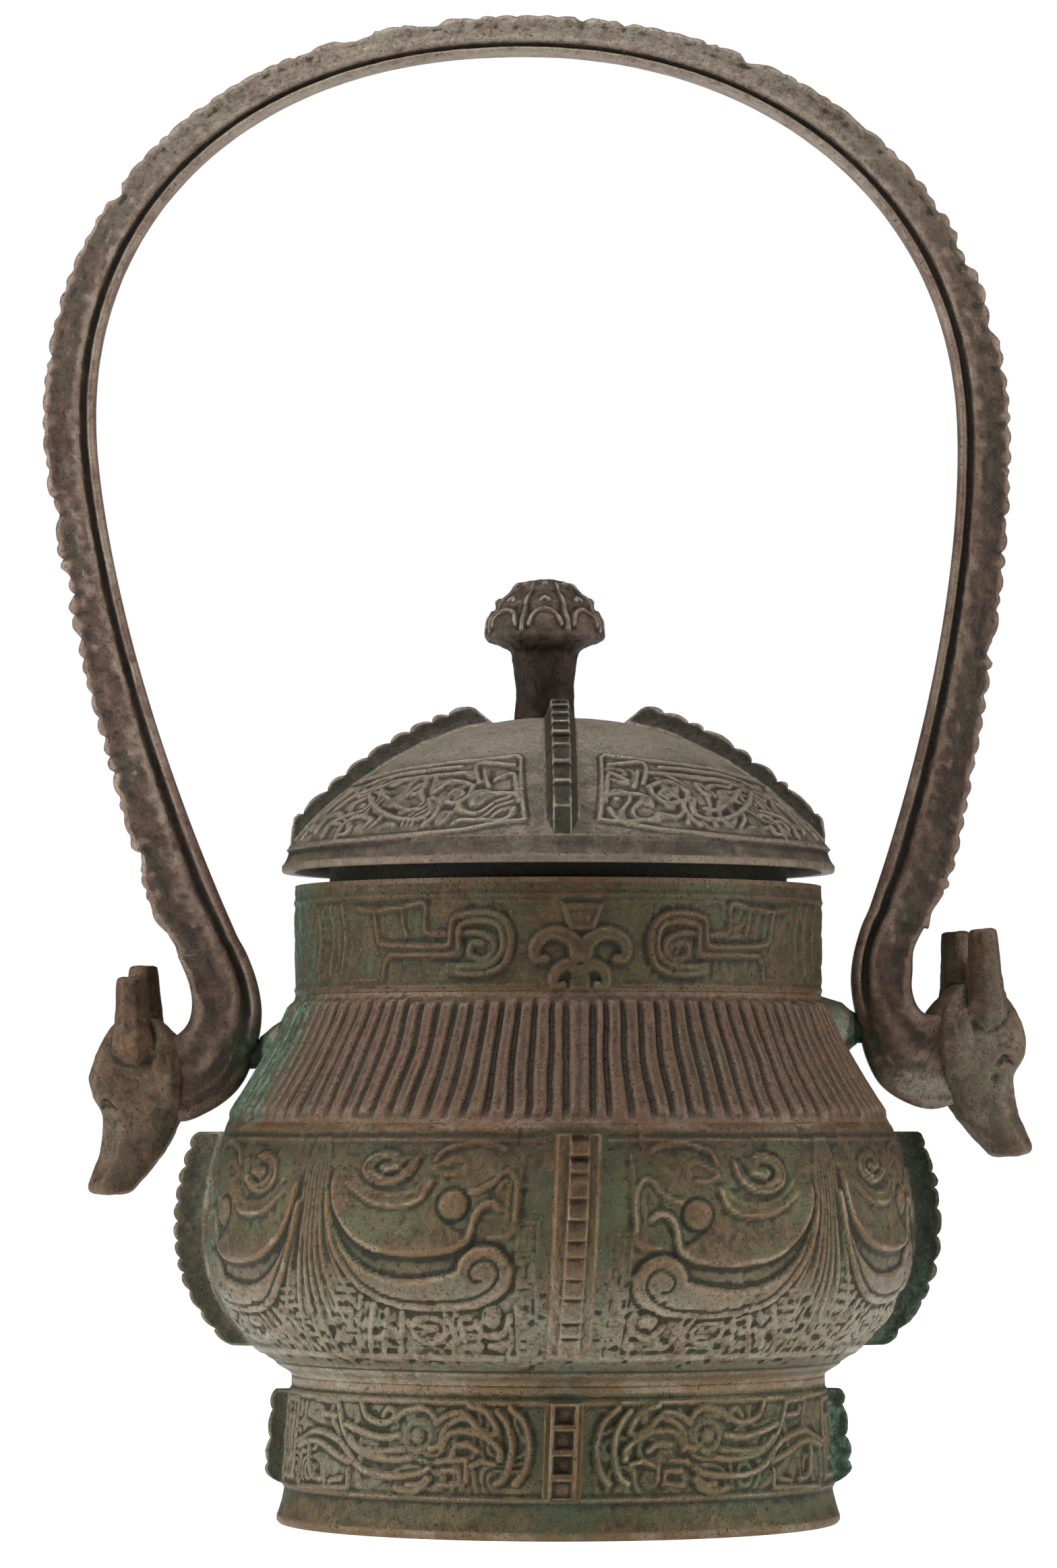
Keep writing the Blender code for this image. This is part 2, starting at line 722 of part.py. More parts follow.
def strap_section(inner, outer, width):
    """One cut through the strap: a flat inner face, a rounded edge, a groove and a slope to the crest."""
    half = width / 2
    sides = ((0.0, 1.0), (0.20, 1.0), (0.28, 0.76), (1.0, 0.26))
    points = [inner.lerp(outer, depth).to_3d().xzy + Vector((0, -half * wide, 0)) for depth, wide in sides]
    points += [
        inner.lerp(outer, depth).to_3d().xzy + Vector((0, half * wide, 0)) for depth, wide in reversed(sides)
    ]
    return points


def ear_sections(side):
    """The strap's lower end, which turns outwards round its hinge into the neck of the animal head."""
    foot = ARCH_FOOT_HALF_WIDTH
    root = HEAD_ROOT - foot
    cuts = (
        ((0.0030, 0.0060), (0.83 * root, 0.0075), 0.50),
        ((0.0064, -0.0026), (0.90 * root, 0.0063), 0.94),
        ((0.0094, -0.0079), (0.955 * root, 0.0058), 0.96),
        ((0.0150, -0.0118), (1.01 * root, 0.0054), 0.98),
        ((0.0283, -0.0131), (1.32 * root, 0.0041), 0.35),
    )
    sections = []
    for inner, outer, share in cuts:
        sections.append(strap_section(
            Vector((side * (foot + inner[0]), inner[1])),
            Vector((side * (foot + outer[0]), outer[1])),
            STRAP_WIDTH + (EAR_WIDTH - STRAP_WIDTH) * share,
        ))
    return sections


def strap_mesh():
    path = arch_path(6, 7)
    sections = list(reversed(ear_sections(-1)))
    for i, inner in enumerate(path):
        outer = inner + outward_of(path, i) * strap_depth(inner.y)
        flare = max(0.0, 1 - (inner.y - ARCH_FOOT_HEIGHT) / FOOT_FLARE_RISE)
        sections.append(strap_section(inner, outer, STRAP_WIDTH + FOOT_FLARE * flare))
    sections += ear_sections(1)
    bm = bmesh.new()
    loft(bm, sections)
    bmesh.ops.triangulate(bm, faces=bm.faces)
    return tidy_mesh(bm, "strap")


def add_crest(collection):
    """The notched flange along the strap's outer edge."""
    path = arch_path(12, 30, CREST_FOOT_HEIGHT)
    lengths = [0.0]
    for here, there in zip(path, path[1:]):
        lengths.append(lengths[-1] + (there - here).length)
    teeth = round(lengths[-1] / CREST_PITCH)

    def on_strap(t, lift):
        reach = min(max(t, 0.0), 1.0) * lengths[-1]
        i = next(i for i in range(1, len(path)) if lengths[i] >= reach or i == len(path) - 1)
        share = (reach - lengths[i - 1]) / (lengths[i] - lengths[i - 1])
        inner = path[i - 1].lerp(path[i], share)
        outward = outward_of(path, i - 1).lerp(outward_of(path, i), share)
        return inner + outward * (strap_depth(inner.y) + lift)

    def edge(t):
        here = on_strap(t, CREST_HEIGHT)
        return here, (here - on_strap(t, 0.0)).normalized()

    outline = notched_edge(edge, teeth, CREST_NOTCH)
    count = CREST_ROOT_PIECES
    outline += [tuple(on_strap(1 - i / count, -STRAP_DEPTH_TOP / 3)) for i in range(count + 1)]
    plate("crest", outline, CREST_THICKNESS, collection)


def head_section(low, near, far, half_width):
    """An eight-sided level cut through a head, from near to far outwards and half_width to each side.

    Its corners stand a little outside the oval that it replaces, so that the cut holds as much.
    """
    middle = (near + far) / 2
    deep = (far - near) / 2
    points = []
    for i in range(8):
        angle = math.pi / 8 + math.pi / 4 * i
        points.append(Vector((
            middle + deep * HEAD_CUT_SPREAD * math.cos(angle),
            half_width * HEAD_CUT_SPREAD * math.sin(angle),
            low,
        )))
    return points


def add_head(side, turn, collection):
    """A long-muzzled head that looks outwards and down, with two blunt horns and two eyes."""
    length = HEAD_LENGTH
    half = HEAD_WIDTH / 2
    cuts = (
        (0.21, 0.06, 0.33, 0.55), (0.08, -0.06, 0.45, 0.90), (-0.12, -0.09, 0.485, 1.0),
        (-0.25, -0.07, 0.455, 0.92), (-0.38, -0.03, 0.44, 0.76), (-0.54, 0.06, 0.462, 0.64),
        (-0.72, 0.22, 0.54, 0.60), (-0.80, 0.28, 0.49, 0.44),
    )
    sections = [
        head_section(length * low, length * near, length * far, half * wide)
        for low, near, far, wide in cuts
    ]
    bm = bmesh.new()
    loft(bm, sections)
    for across in (-1, 1):
        place = Matrix.Translation((length * 0.36, across * half * 0.86, -length * 0.25))
        place = place @ Matrix.Rotation(-across * math.pi / 2, 4, "X")
        bmesh.ops.create_cone(bm, cap_ends=True, segments=6, radius1=HEAD_EYE_RADIUS,
                              radius2=HEAD_EYE_TIP_RADIUS, depth=HEAD_EYE_DEPTH, matrix=place)
        place = Matrix.Translation((length * 0.19, across * HORN_SPREAD, HORN_TOP / 2))
        bmesh.ops.create_cone(bm, cap_ends=True, segments=8, radius1=HORN_FOOT_RADIUS, radius2=HORN_RADIUS,
                              depth=HORN_TOP, matrix=place)
    bmesh.ops.rotate(bm, verts=bm.verts, cent=(0, 0, 0), matrix=Matrix.Rotation(turn, 3, "Z"))
    if side < 0:
        bmesh.ops.scale(bm, verts=bm.verts, vec=(-1, 1, 1))
    bmesh.ops.translate(bm, verts=bm.verts, vec=(side * HEAD_ROOT, 0, 0))
    name = "head_left" if side < 0 else "head_right"
    add_object(name, tidy_mesh(bm, name), collection)


def add_hinge_bores(collection):
    """The blind holes in the handle's two ends that turn on the vessel's pins."""
    bm = bmesh.new()
    inner = ARCH_FOOT_HALF_WIDTH - WALL
    outer = PIN_REACH + PIN_CLEARANCE
    for side in (-1, 1):
        place = Matrix.Translation((side * (inner + outer) / 2, 0, 0)) @ Matrix.Rotation(math.pi / 2, 4, "Y")
        radius = PIN_RADIUS + PIN_CLEARANCE
        bmesh.ops.create_cone(bm, cap_ends=True, segments=12, radius1=radius, radius2=radius,
                              depth=outer - inner, matrix=place)
    return add_object("hinge_bores", tidy_mesh(bm, "hinge_bores"), collection)


def handle_details(guides):
    details = new_collection("handle_details", guides)
    add_crest(details)
    add_head(-1, HEAD_TURN_LEFT, details)
    add_head(1, HEAD_TURN_RIGHT, details)
    return details


def build_handle(parts, guides, details, finish):
    bores = add_hinge_bores(new_collection("handle_cutters", guides))
    handle = add_object("handle", strap_mesh(), parts, is_part=True)
    place = Matrix.Translation((AXIS_X, 0, HINGE_HEIGHT)) @ Matrix.Rotation(-HANDLE_LEAN, 4, "Y")
    for obj in (handle, bores, *details.objects):
        obj.matrix_world = place
    union(handle, details, "Join crest and heads")
    cut = handle.modifiers.new("Hinge bores", "BOOLEAN")
    cut.operation = "DIFFERENCE"
    cut.object = bores
    cut.solver = "EXACT"
    handle.data.materials.append(finish)


def build():
    clear_scene()
    scene = bpy.context.scene.collection
    parts = new_collection(PARTS_NAME, scene)
    guides = new_collection("guides", scene)
    on_vessel = vessel_details(guides)
    on_lid = lid_details(guides)
    on_handle = handle_details(guides)
    build_vessel(parts, on_vessel, bronze("vessel bronze", (0.115, 0.098, 0.068), 0.55))
    build_lid(parts, on_lid, bronze("lid bronze", (0.110, 0.105, 0.078), 0.50))
    build_handle(parts, guides, on_handle, bronze("handle bronze", (0.085, 0.068, 0.045), 0.60))


build()
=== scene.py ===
import json
import math

import bpy
import numpy as np
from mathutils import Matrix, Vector


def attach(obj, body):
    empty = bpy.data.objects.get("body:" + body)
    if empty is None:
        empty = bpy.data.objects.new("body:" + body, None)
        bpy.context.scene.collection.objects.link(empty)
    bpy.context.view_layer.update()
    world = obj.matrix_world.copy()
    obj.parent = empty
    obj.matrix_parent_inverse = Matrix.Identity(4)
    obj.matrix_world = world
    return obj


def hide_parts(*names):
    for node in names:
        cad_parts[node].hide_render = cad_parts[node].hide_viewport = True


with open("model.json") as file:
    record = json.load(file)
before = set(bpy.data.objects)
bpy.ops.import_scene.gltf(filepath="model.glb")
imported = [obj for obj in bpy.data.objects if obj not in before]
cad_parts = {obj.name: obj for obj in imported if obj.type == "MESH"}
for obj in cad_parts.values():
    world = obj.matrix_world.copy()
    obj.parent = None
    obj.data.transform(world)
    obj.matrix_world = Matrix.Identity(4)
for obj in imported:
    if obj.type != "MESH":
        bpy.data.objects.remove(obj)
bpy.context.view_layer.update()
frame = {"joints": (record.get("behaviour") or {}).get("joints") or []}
MM = 0.001


# The floor, the light and the camera.
# A pale table under soft boxes on both sides. The light that comes back from the table is strong, as in the
# photograph, so that undersides are as bright as tops.
hinge = frame["joints"][0]
AXIS_X = hinge["pos_m"][0]
HINGE_HEIGHT = hinge["pos_m"][2]
CAMERA_DISTANCE = 1.37
CAMERA_HEIGHT = 0.100
CAMERA_LEFT_OF_AXIS = 0.0071
CAMERA_LENS = 131.5
CAMERA_SHIFT = 0.203
FLOOR_RADIUS = 9.0
FLOOR_COLOUR = (0.85, 0.85, 0.84, 1)
FLOOR_GLOW = 0.42
FLOOR_GLOW_SEEN = 1.02
SKY_STRENGTH = 0.07
WHITE = (1, 1, 1, 1)

scene = bpy.context.scene
scene.view_settings.view_transform = "Standard"
camera_data = bpy.data.cameras.new("camera")
camera_data.lens = CAMERA_LENS
camera_data.sensor_width = 36
camera_data.shift_y = CAMERA_SHIFT
camera_data.clip_end = 100
camera = bpy.data.objects.new("camera", camera_data)
camera.location = (AXIS_X - CAMERA_LEFT_OF_AXIS, -CAMERA_DISTANCE, CAMERA_HEIGHT)
camera.rotation_euler = (math.radians(90), 0, 0)
scene.collection.objects.link(camera)
scene.camera = camera


def set_glow(tree, socket, given, seen):
    """Lights the scene with the given strength, and shows the camera another one."""
    path = tree.nodes.new("ShaderNodeLightPath")
    choice = tree.nodes.new("ShaderNodeMapRange")
    choice.inputs["To Min"].default_value = given
    choice.inputs["To Max"].default_value = seen
    tree.links.new(path.outputs["Is Camera Ray"], choice.inputs["Value"])
    tree.links.new(choice.outputs["Result"], socket)


world = bpy.data.worlds.new("studio")
world.use_nodes = True
backdrop = world.node_tree.nodes["Background"].inputs
backdrop["Color"].default_value = WHITE
set_glow(world.node_tree, backdrop["Strength"], SKY_STRENGTH, 1.0)
scene.world = world


def add_soft_box(name, place, target, width, height, power):
    light = bpy.data.lights.new(name, "AREA")
    light.shape = "RECTANGLE"
    light.size = width
    light.size_y = height
    light.energy = power
    box = bpy.data.objects.new(name, light)
    box.location = place
    box.rotation_euler = (Vector(target) - Vector(place)).to_track_quat("-Z", "Y").to_euler()
    scene.collection.objects.link(box)


add_soft_box("box_left", (-1.20, -0.30, 0.45), (0, 0, 0.15), 0.45, 1.0, 10)
add_soft_box("box_right", (1.20, -0.24, 0.40), (0, 0, 0.15), 0.40, 0.9, 8)
add_soft_box("box_top", (-0.1, -0.30, 1.25), (0, 0, 0.3), 0.7, 0.3, 9)
add_soft_box("box_low_front", (-0.25, -1.2, 0.03), (0, 0, 0.07), 1.4, 0.05, 1.2)

bpy.ops.object.select_all(action="DESELECT")
bpy.ops.mesh.primitive_circle_add(vertices=96, radius=FLOOR_RADIUS, fill_type="NGON")
floor = bpy.context.object
floor.name = "floor"
floor_material = bpy.data.materials.new("floor")
floor_material.use_nodes = True
floor_shader = floor_material.node_tree.nodes["Principled BSDF"].inputs
floor_shader["Base Color"].default_value = FLOOR_COLOUR
floor_shader["Roughness"].default_value = 0.8
floor_shader["Emission Color"].default_value = WHITE
set_glow(floor_material.node_tree, floor_shader["Emission Strength"], FLOOR_GLOW, FLOOR_GLOW_SEEN)
floor.data.materials.append(floor_material)


# The finish that all the cast pieces share: a brown bronze whose hollows and flat grounds hold olive and
# green corrosion, and whose skin is pitted and speckled. Raised ridges get a warmer, paler brown that is
# partly worn metal and partly painted highlight, the highest crests get painted glints, and hollows and broad
# recesses are painted dark as painted shade. Each piece stores where pale crust mixed with painted light,
# painted shade and bright verdigris lie on it.
class Nodes:
    """Short calls that add and join nodes in one tree."""

    def __init__(self, tree):
        self.tree = tree

    def put(self, value, socket):
        if isinstance(value, bpy.types.NodeSocket):
            self.tree.links.new(value, socket)
        elif value is not None:
            socket.default_value = value

    def noise(self, vector, scale, detail=4.0, roughness=0.55, distortion=0.0):
        node = self.tree.nodes.new("ShaderNodeTexNoise")
        self.put(vector, node.inputs["Vector"])
        node.inputs["Scale"].default_value = scale
        node.inputs["Detail"].default_value = detail
        node.inputs["Roughness"].default_value = roughness
        node.inputs["Distortion"].default_value = distortion
        return node.outputs["Fac"]

    def between(self, value, low, high):
        """0 at low, 1 at high."""
        node = self.tree.nodes.new("ShaderNodeMapRange")
        node.interpolation_type = "SMOOTHSTEP"
        self.put(value, node.inputs["Value"])
        node.inputs["From Min"].default_value = low
        node.inputs["From Max"].default_value = high
        return node.outputs["Result"]

    def maths(self, operation, *values):
        node = self.tree.nodes.new("ShaderNodeMath")
        node.operation = operation
        for value, socket in zip(values, node.inputs):
            self.put(value, socket)
        return node.outputs[0]

    def times(self, a, b):
        return self.maths("MULTIPLY", a, b)

    def stored(self, label):
        """A value that each point of the mesh carries."""
        node = self.tree.nodes.new("ShaderNodeAttribute")
        node.attribute_name = label
        return node.outputs["Fac"]

    def tint(self, colour, share, low, high):
        """Multiplies a colour by low where share is 0 and by high where it is 1."""
        return self.veil(colour, share, (low, low, low, 1), (high, high, high, 1))

    def veil(self, colour, share, low, high):
        """The same with a colour of its own at both ends."""
        return self.mix(1.0, colour, self.mix(share, low, high), "MULTIPLY")

    def mix(self, share, a, b, kind="MIX"):
        node = self.tree.nodes.new("ShaderNodeMix")
        node.data_type = "RGBA"
        node.blend_type = kind
        self.put(share, node.inputs["Factor"])
        self.put(a, node.inputs[6])
        self.put(b, node.inputs[7])
        return node.outputs[2]


# A pale crust colour. It is laid partly as real pale crust and partly as painted light on lit undersides,
# tops and sides, and also as painted glint specks.
PALE_CRUST_AND_HIGHLIGHT = (0.38, 0.345, 0.265, 1)
# A pale worn bronze laid on the highest crests: partly worn metal, partly a painted glint highlight.
WORN_AND_GLINT_BRONZE = (0.42, 0.36, 0.27, 1)
# The brown that painted shade darkens the colour towards.
PAINTED_SHADE_BROWN = (0.36, 0.28, 0.21, 1)
TEAL_LOW = (0.045, 0.068, 0.045, 1)
TEAL_HIGH = (0.13, 0.23, 0.165, 1)
BUMP_STRENGTH = 0.7
BUMP_DISTANCE = 0.0005
METALLIC = 0.25

patina = bpy.data.node_groups.new("patina", "ShaderNodeTree")
for way, kind, labels in (
    ("INPUT", "NodeSocketColor", ("Skin", "Ridge Tone And Highlight", "Hollow Shade", "Green", "Dust")),
    ("INPUT", "NodeSocketFloat", ("Green Amount", "Dust Amount", "Worn Glint Amount")),
    ("OUTPUT", "NodeSocketColor", ("Color",)),
    ("OUTPUT", "NodeSocketFloat", ("Roughness", "Height")),
):
    for label in labels:
        patina.interface.new_socket(label, in_out=way, socket_type=kind)
n = Nodes(patina)
given = patina.nodes.new("NodeGroupInput").outputs
place = patina.nodes.new("ShaderNodeTexCoord").outputs["Object"]
stand = n.stored("stand_out")
ridge = n.between(stand, 0.15, 1.1)
hollow = n.between(stand, -0.04, -0.6)
cavity = n.between(n.stored("cavity"), -0.05, -0.8)
ground = n.between(n.stored("cavity"), 0.25, -0.1)
broad = n.noise(place, 26, 3, 0.55)
cloud = n.noise(place, 90, 5, 0.62)
blotch = n.noise(place, 250, 4, 0.68, distortion=0.6)
fine = n.noise(place, 900, 4, 0.75)
grain = n.noise(place, 3200, 2, 0.6)
speck = n.noise(place, 1500, 2, 0.6)
glint = n.noise(place, 1150, 2, 0.7)

dust_share = n.times(n.between(broad, 0.38, 0.62), given["Dust Amount"])
colour = n.mix(dust_share, given["Skin"], given["Dust"])
colour = n.tint(colour, n.between(blotch, 0.34, 0.66), 1.35, 0.60)
colour = n.tint(colour, n.between(cloud, 0.35, 0.65), 1.18, 0.78)
patches = n.maths("MULTIPLY_ADD", broad, 0.6, cloud)
patches = n.between(patches, 0.76, 0.96)
seams = n.times(hollow, n.between(blotch, 0.36, 0.54))
ground = n.times(ground, n.between(cloud, 0.30, 0.72))
green_share = n.maths("MAXIMUM", n.maths("MAXIMUM", patches, seams), ground)
colour = n.mix(n.times(green_share, given["Green Amount"]), colour, given["Green"])
# Painted shade: hollows are darkened towards the hollow colour.
colour = n.mix(n.times(hollow, 0.66), colour, given["Hollow Shade"])
# Raised ridges take a warmer, paler colour: partly worn metal, partly painted highlight.
colour = n.mix(n.times(ridge, n.between(blotch, 0.25, 0.6)), colour, given["Ridge Tone And Highlight"])
# Painted glint highlight on the highest crests, in patches, laid as worn bronze.
worn_and_glint_share = n.times(n.between(stand, 0.5, 1.3), n.between(cloud, 0.46, 0.62))
colour = n.mix(n.times(worn_and_glint_share, given["Worn Glint Amount"]), colour, WORN_AND_GLINT_BRONZE)
# Pale crust mixed with painted light: where the stored share is high, lit undersides, tops and sides are
# lightened.
crust_and_painted_light_share = n.between(n.maths("MULTIPLY_ADD", fine, 0.6, blotch), 0.52, 0.95)
crust_and_painted_light_share = n.times(n.stored("crust_and_painted_light"), crust_and_painted_light_share)
colour = n.mix(n.times(crust_and_painted_light_share, n.maths("SUBTRACT", 1.0, hollow)), colour, PALE_CRUST_AND_HIGHLIGHT)
teal = n.mix(n.between(blotch, 0.42, 0.66), TEAL_LOW, TEAL_HIGH)
teal_share = n.between(n.maths("MULTIPLY_ADD", blotch, 0.7, cloud), 0.56, 0.90)
colour = n.mix(n.times(n.stored("verdigris"), teal_share), colour, teal)
colour = n.tint(colour, n.between(speck, 0.60, 0.70), 1.0, 0.42)
colour = n.mix(n.times(n.between(glint, 0.66, 0.74), 0.35), colour, PALE_CRUST_AND_HIGHLIGHT)
# Painted shade: broad recesses are darkened, less where pale crust lies.
cavity = n.times(cavity, n.maths("MULTIPLY_ADD", n.stored("crust_and_painted_light"), -0.8, 1.0))
colour = n.tint(colour, cavity, 1.0, 0.45)
# Painted shade: the stored share darkens the colour where less light falls.
colour = n.veil(colour, n.stored("painted_shade"), WHITE, PAINTED_SHADE_BROWN)
colour = n.tint(colour, fine, 0.60, 1.40)
colour = n.tint(colour, grain, 0.70, 1.30)
out = patina.nodes.new("NodeGroupOutput").inputs
n.put(colour, out["Color"])
rough = n.maths("ADD", n.times(fine, 0.25), n.times(ridge, -0.15))
n.put(n.maths("ADD", rough, 0.38), out["Roughness"])
height = n.maths("ADD", n.times(fine, 0.9), n.times(blotch, 1.1))
height = n.maths("MULTIPLY_ADD", n.between(speck, 0.6, 0.75), -0.6, height)
n.put(height, out["Height"])

# Each material's ridge colour is partly worn metal and partly painted highlight, its hollow colour is painted
# shade, and its rub amount sets the painted glint on the crests.
def bronze(name, skin, ridge, hollow, green, green_amount, dust, dust_amount, worn_and_glint=0.5, gloss=0.34):
    """A material of the shared finish with its own colours."""
    material = bpy.data.materials.new(name)
    material.use_nodes = True
    tree = material.node_tree
    shader = tree.nodes["Principled BSDF"].inputs
    finish = tree.nodes.new("ShaderNodeGroup")
    finish.node_tree = patina
    colours = {"Skin": skin, "Ridge Tone And Highlight": ridge, "Hollow Shade": hollow, "Green": green, "Dust": dust}
    for label, colour in colours.items():
        finish.inputs[label].default_value = (*colour, 1)
    for label, amount in (("Green", green_amount), ("Dust", dust_amount), ("Worn Glint", worn_and_glint)):
        finish.inputs[f"{label} Amount"].default_value = amount
    height = tree.nodes.new("ShaderNodeBump")
    height.inputs["Strength"].default_value = BUMP_STRENGTH
    height.inputs["Distance"].default_value = BUMP_DISTANCE
    tree.links.new(finish.outputs["Height"], height.inputs["Height"])
    tree.links.new(height.outputs["Normal"], shader["Normal"])
    tree.links.new(finish.outputs["Color"], shader["Base Color"])
    tree.links.new(finish.outputs["Roughness"], shader["Roughness"])
    shader["Metallic"].default_value = METALLIC
    shader["Specular IOR Level"].default_value = gloss
    return material


def read_vectors(items, label="co"):
    """A vector for each point of a mesh, as rows."""
    flat = np.zeros(len(items) * 3, np.float32)
    items.foreach_get(label, flat)
    return flat.reshape(-1, 3)


def store(mesh, label, values):
    mark = mesh.attributes.new(label, "FLOAT", "POINT")
    mark.data.foreach_set("value", values.astype(np.float32))


def stain(piece, label, share_at):
    """Stores a share from 0 to 1 at each point.

    share_at takes degrees from the front, the radius and the height in millimetres.
    """
    x, y, z = read_vectors(piece.data.vertices).T.astype(float) / MM
    x = x - AXIS_X / MM
    share = np.clip(share_at(np.degrees(np.arctan2(x, -y)), np.hypot(x, y), z), 0, 1)
    store(piece.data, label, share)


def belongs(piece, material, body="vessel_with_lid", node="vessel"):
    """Gives a piece its finish, its body and the solid that it stands for."""
    piece.data.materials.clear()
    piece.data.materials.append(material)
    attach(piece, body)
    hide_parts(node)


# The belly.
# The widest band of the cast vessel, with a monster mask on each of its four sides. Each mask is split by a
# flange into two mirrored halves, cut by eye into the mould, and worn soft.
COLUMNS = 936
SAMPLE_REACH = 0.3
BELLY_ROWS = 84
WALL = 3.0
WAIST_RADIUS = 63.7
WAIST_HEIGHT = 35.2
LEDGE_RADIUS = 67.6
LEDGE_HEIGHT = 38.4
BELLY_FOOT_RADIUS = 71.2
BELLY_FOOT_HEIGHT = 40.8
BELLY_RADIUS = 83.9
BELLY_WIDEST_HEIGHT = 68.0
SHOULDER_RADIUS = 78.9
SHOULDER_HEIGHT = 95.3
BELLY_INSIDE_LOW = 46.0
FLOOR_HEIGHT = 38.8
FLOOR_EDGE_RADIUS = 50.0
TWIST_PER_MM = 0.033
MASK_STEP = 90
MASK_MM_PER_DEGREE = 1.42
HALVES_APART = 2.4


def belly_radius(height):
    below = BELLY_RADIUS - (BELLY_RADIUS - BELLY_FOOT_RADIUS) * (
        np.maximum(BELLY_WIDEST_HEIGHT - height, 0) / (BELLY_WIDEST_HEIGHT - BELLY_FOOT_HEIGHT)
    ) ** 2.2
    above = (BELLY_RADIUS - SHOULDER_RADIUS) * (
        np.maximum(height - BELLY_WIDEST_HEIGHT, 0) / (SHOULDER_HEIGHT - BELLY_WIDEST_HEIGHT)
    ) ** 2
    return below - above


def soft(share):
    """0 below 0, 1 above 1 and a smooth rise between."""
    share = np.clip(share, 0, 1)
    return share * share * (3 - 2 * share)


def mottle(x, y, z, cell, seed):
    """Smooth random values from -1 to 1 at points in millimetres, with lumps of about cell millimetres."""
    size = 32
    table = np.random.default_rng(seed).uniform(-1, 1, (size, size, size))
    grid = [np.asarray(v) / cell for v in (x, y, z)]
    base = [np.floor(v).astype(int) for v in grid]
    share = [soft(v - b) for v, b in zip(grid, base)]
    value = 0
    for i in (0, 1):
        for j in (0, 1):
            for k in (0, 1):
                corner = table[(base[0] + i) % size, (base[1] + j) % size, (base[2] + k) % size]
                weight = 1
                for bit, part in zip((i, j, k), share):
                    weight = weight * (part if bit else 1 - part)
                value = value + corner * weight
    return value


def lumps(x, y, z, *kinds):
    """A sum of random unevenness. Each kind is its height, the size of its lumps and its seed."""
    return sum(height * mottle(x, y, z, cell, seed) for height, cell, seed in kinds)


def through(points, steps=6):
    """A smooth line through a few given points."""
    p = np.array(points, float)
    ends = np.vstack([2 * p[0] - p[1], p, 2 * p[-1] - p[-2]])
    t = np.linspace(0, 1, steps, endpoint=False)[:, None]
    runs = []
    for a, b, c, d in zip(ends, ends[1:], ends[2:], ends[3:]):
        bend = (2 * a - 5 * b + 4 * c - d) * t**2
        runs.append((2 * b + (c - a) * t + bend + (3 * b - a - 3 * c + d) * t**3) / 2)
    return np.vstack([*runs, p[-1:]])


def oval(centre, wide, high, count, closed=False):
    """Points around a centre. wide is in degrees and high in millimetres."""
    angles = [2 * math.pi * i / count for i in range(count + closed)]
    return [(centre[0] + wide * math.sin(angle), centre[1] + high * math.cos(angle)) for angle in angles]


def swirls(x, y, z, cell, seed):
    """Nested curling lines, as in cloud and thunder grounds: 1 on a line, 0 between two."""
    wave = np.abs((mottle(x, y, z, cell, seed) * 2.4) % 1 - 0.5) * 2
    return soft((0.62 - wave) / 0.4)


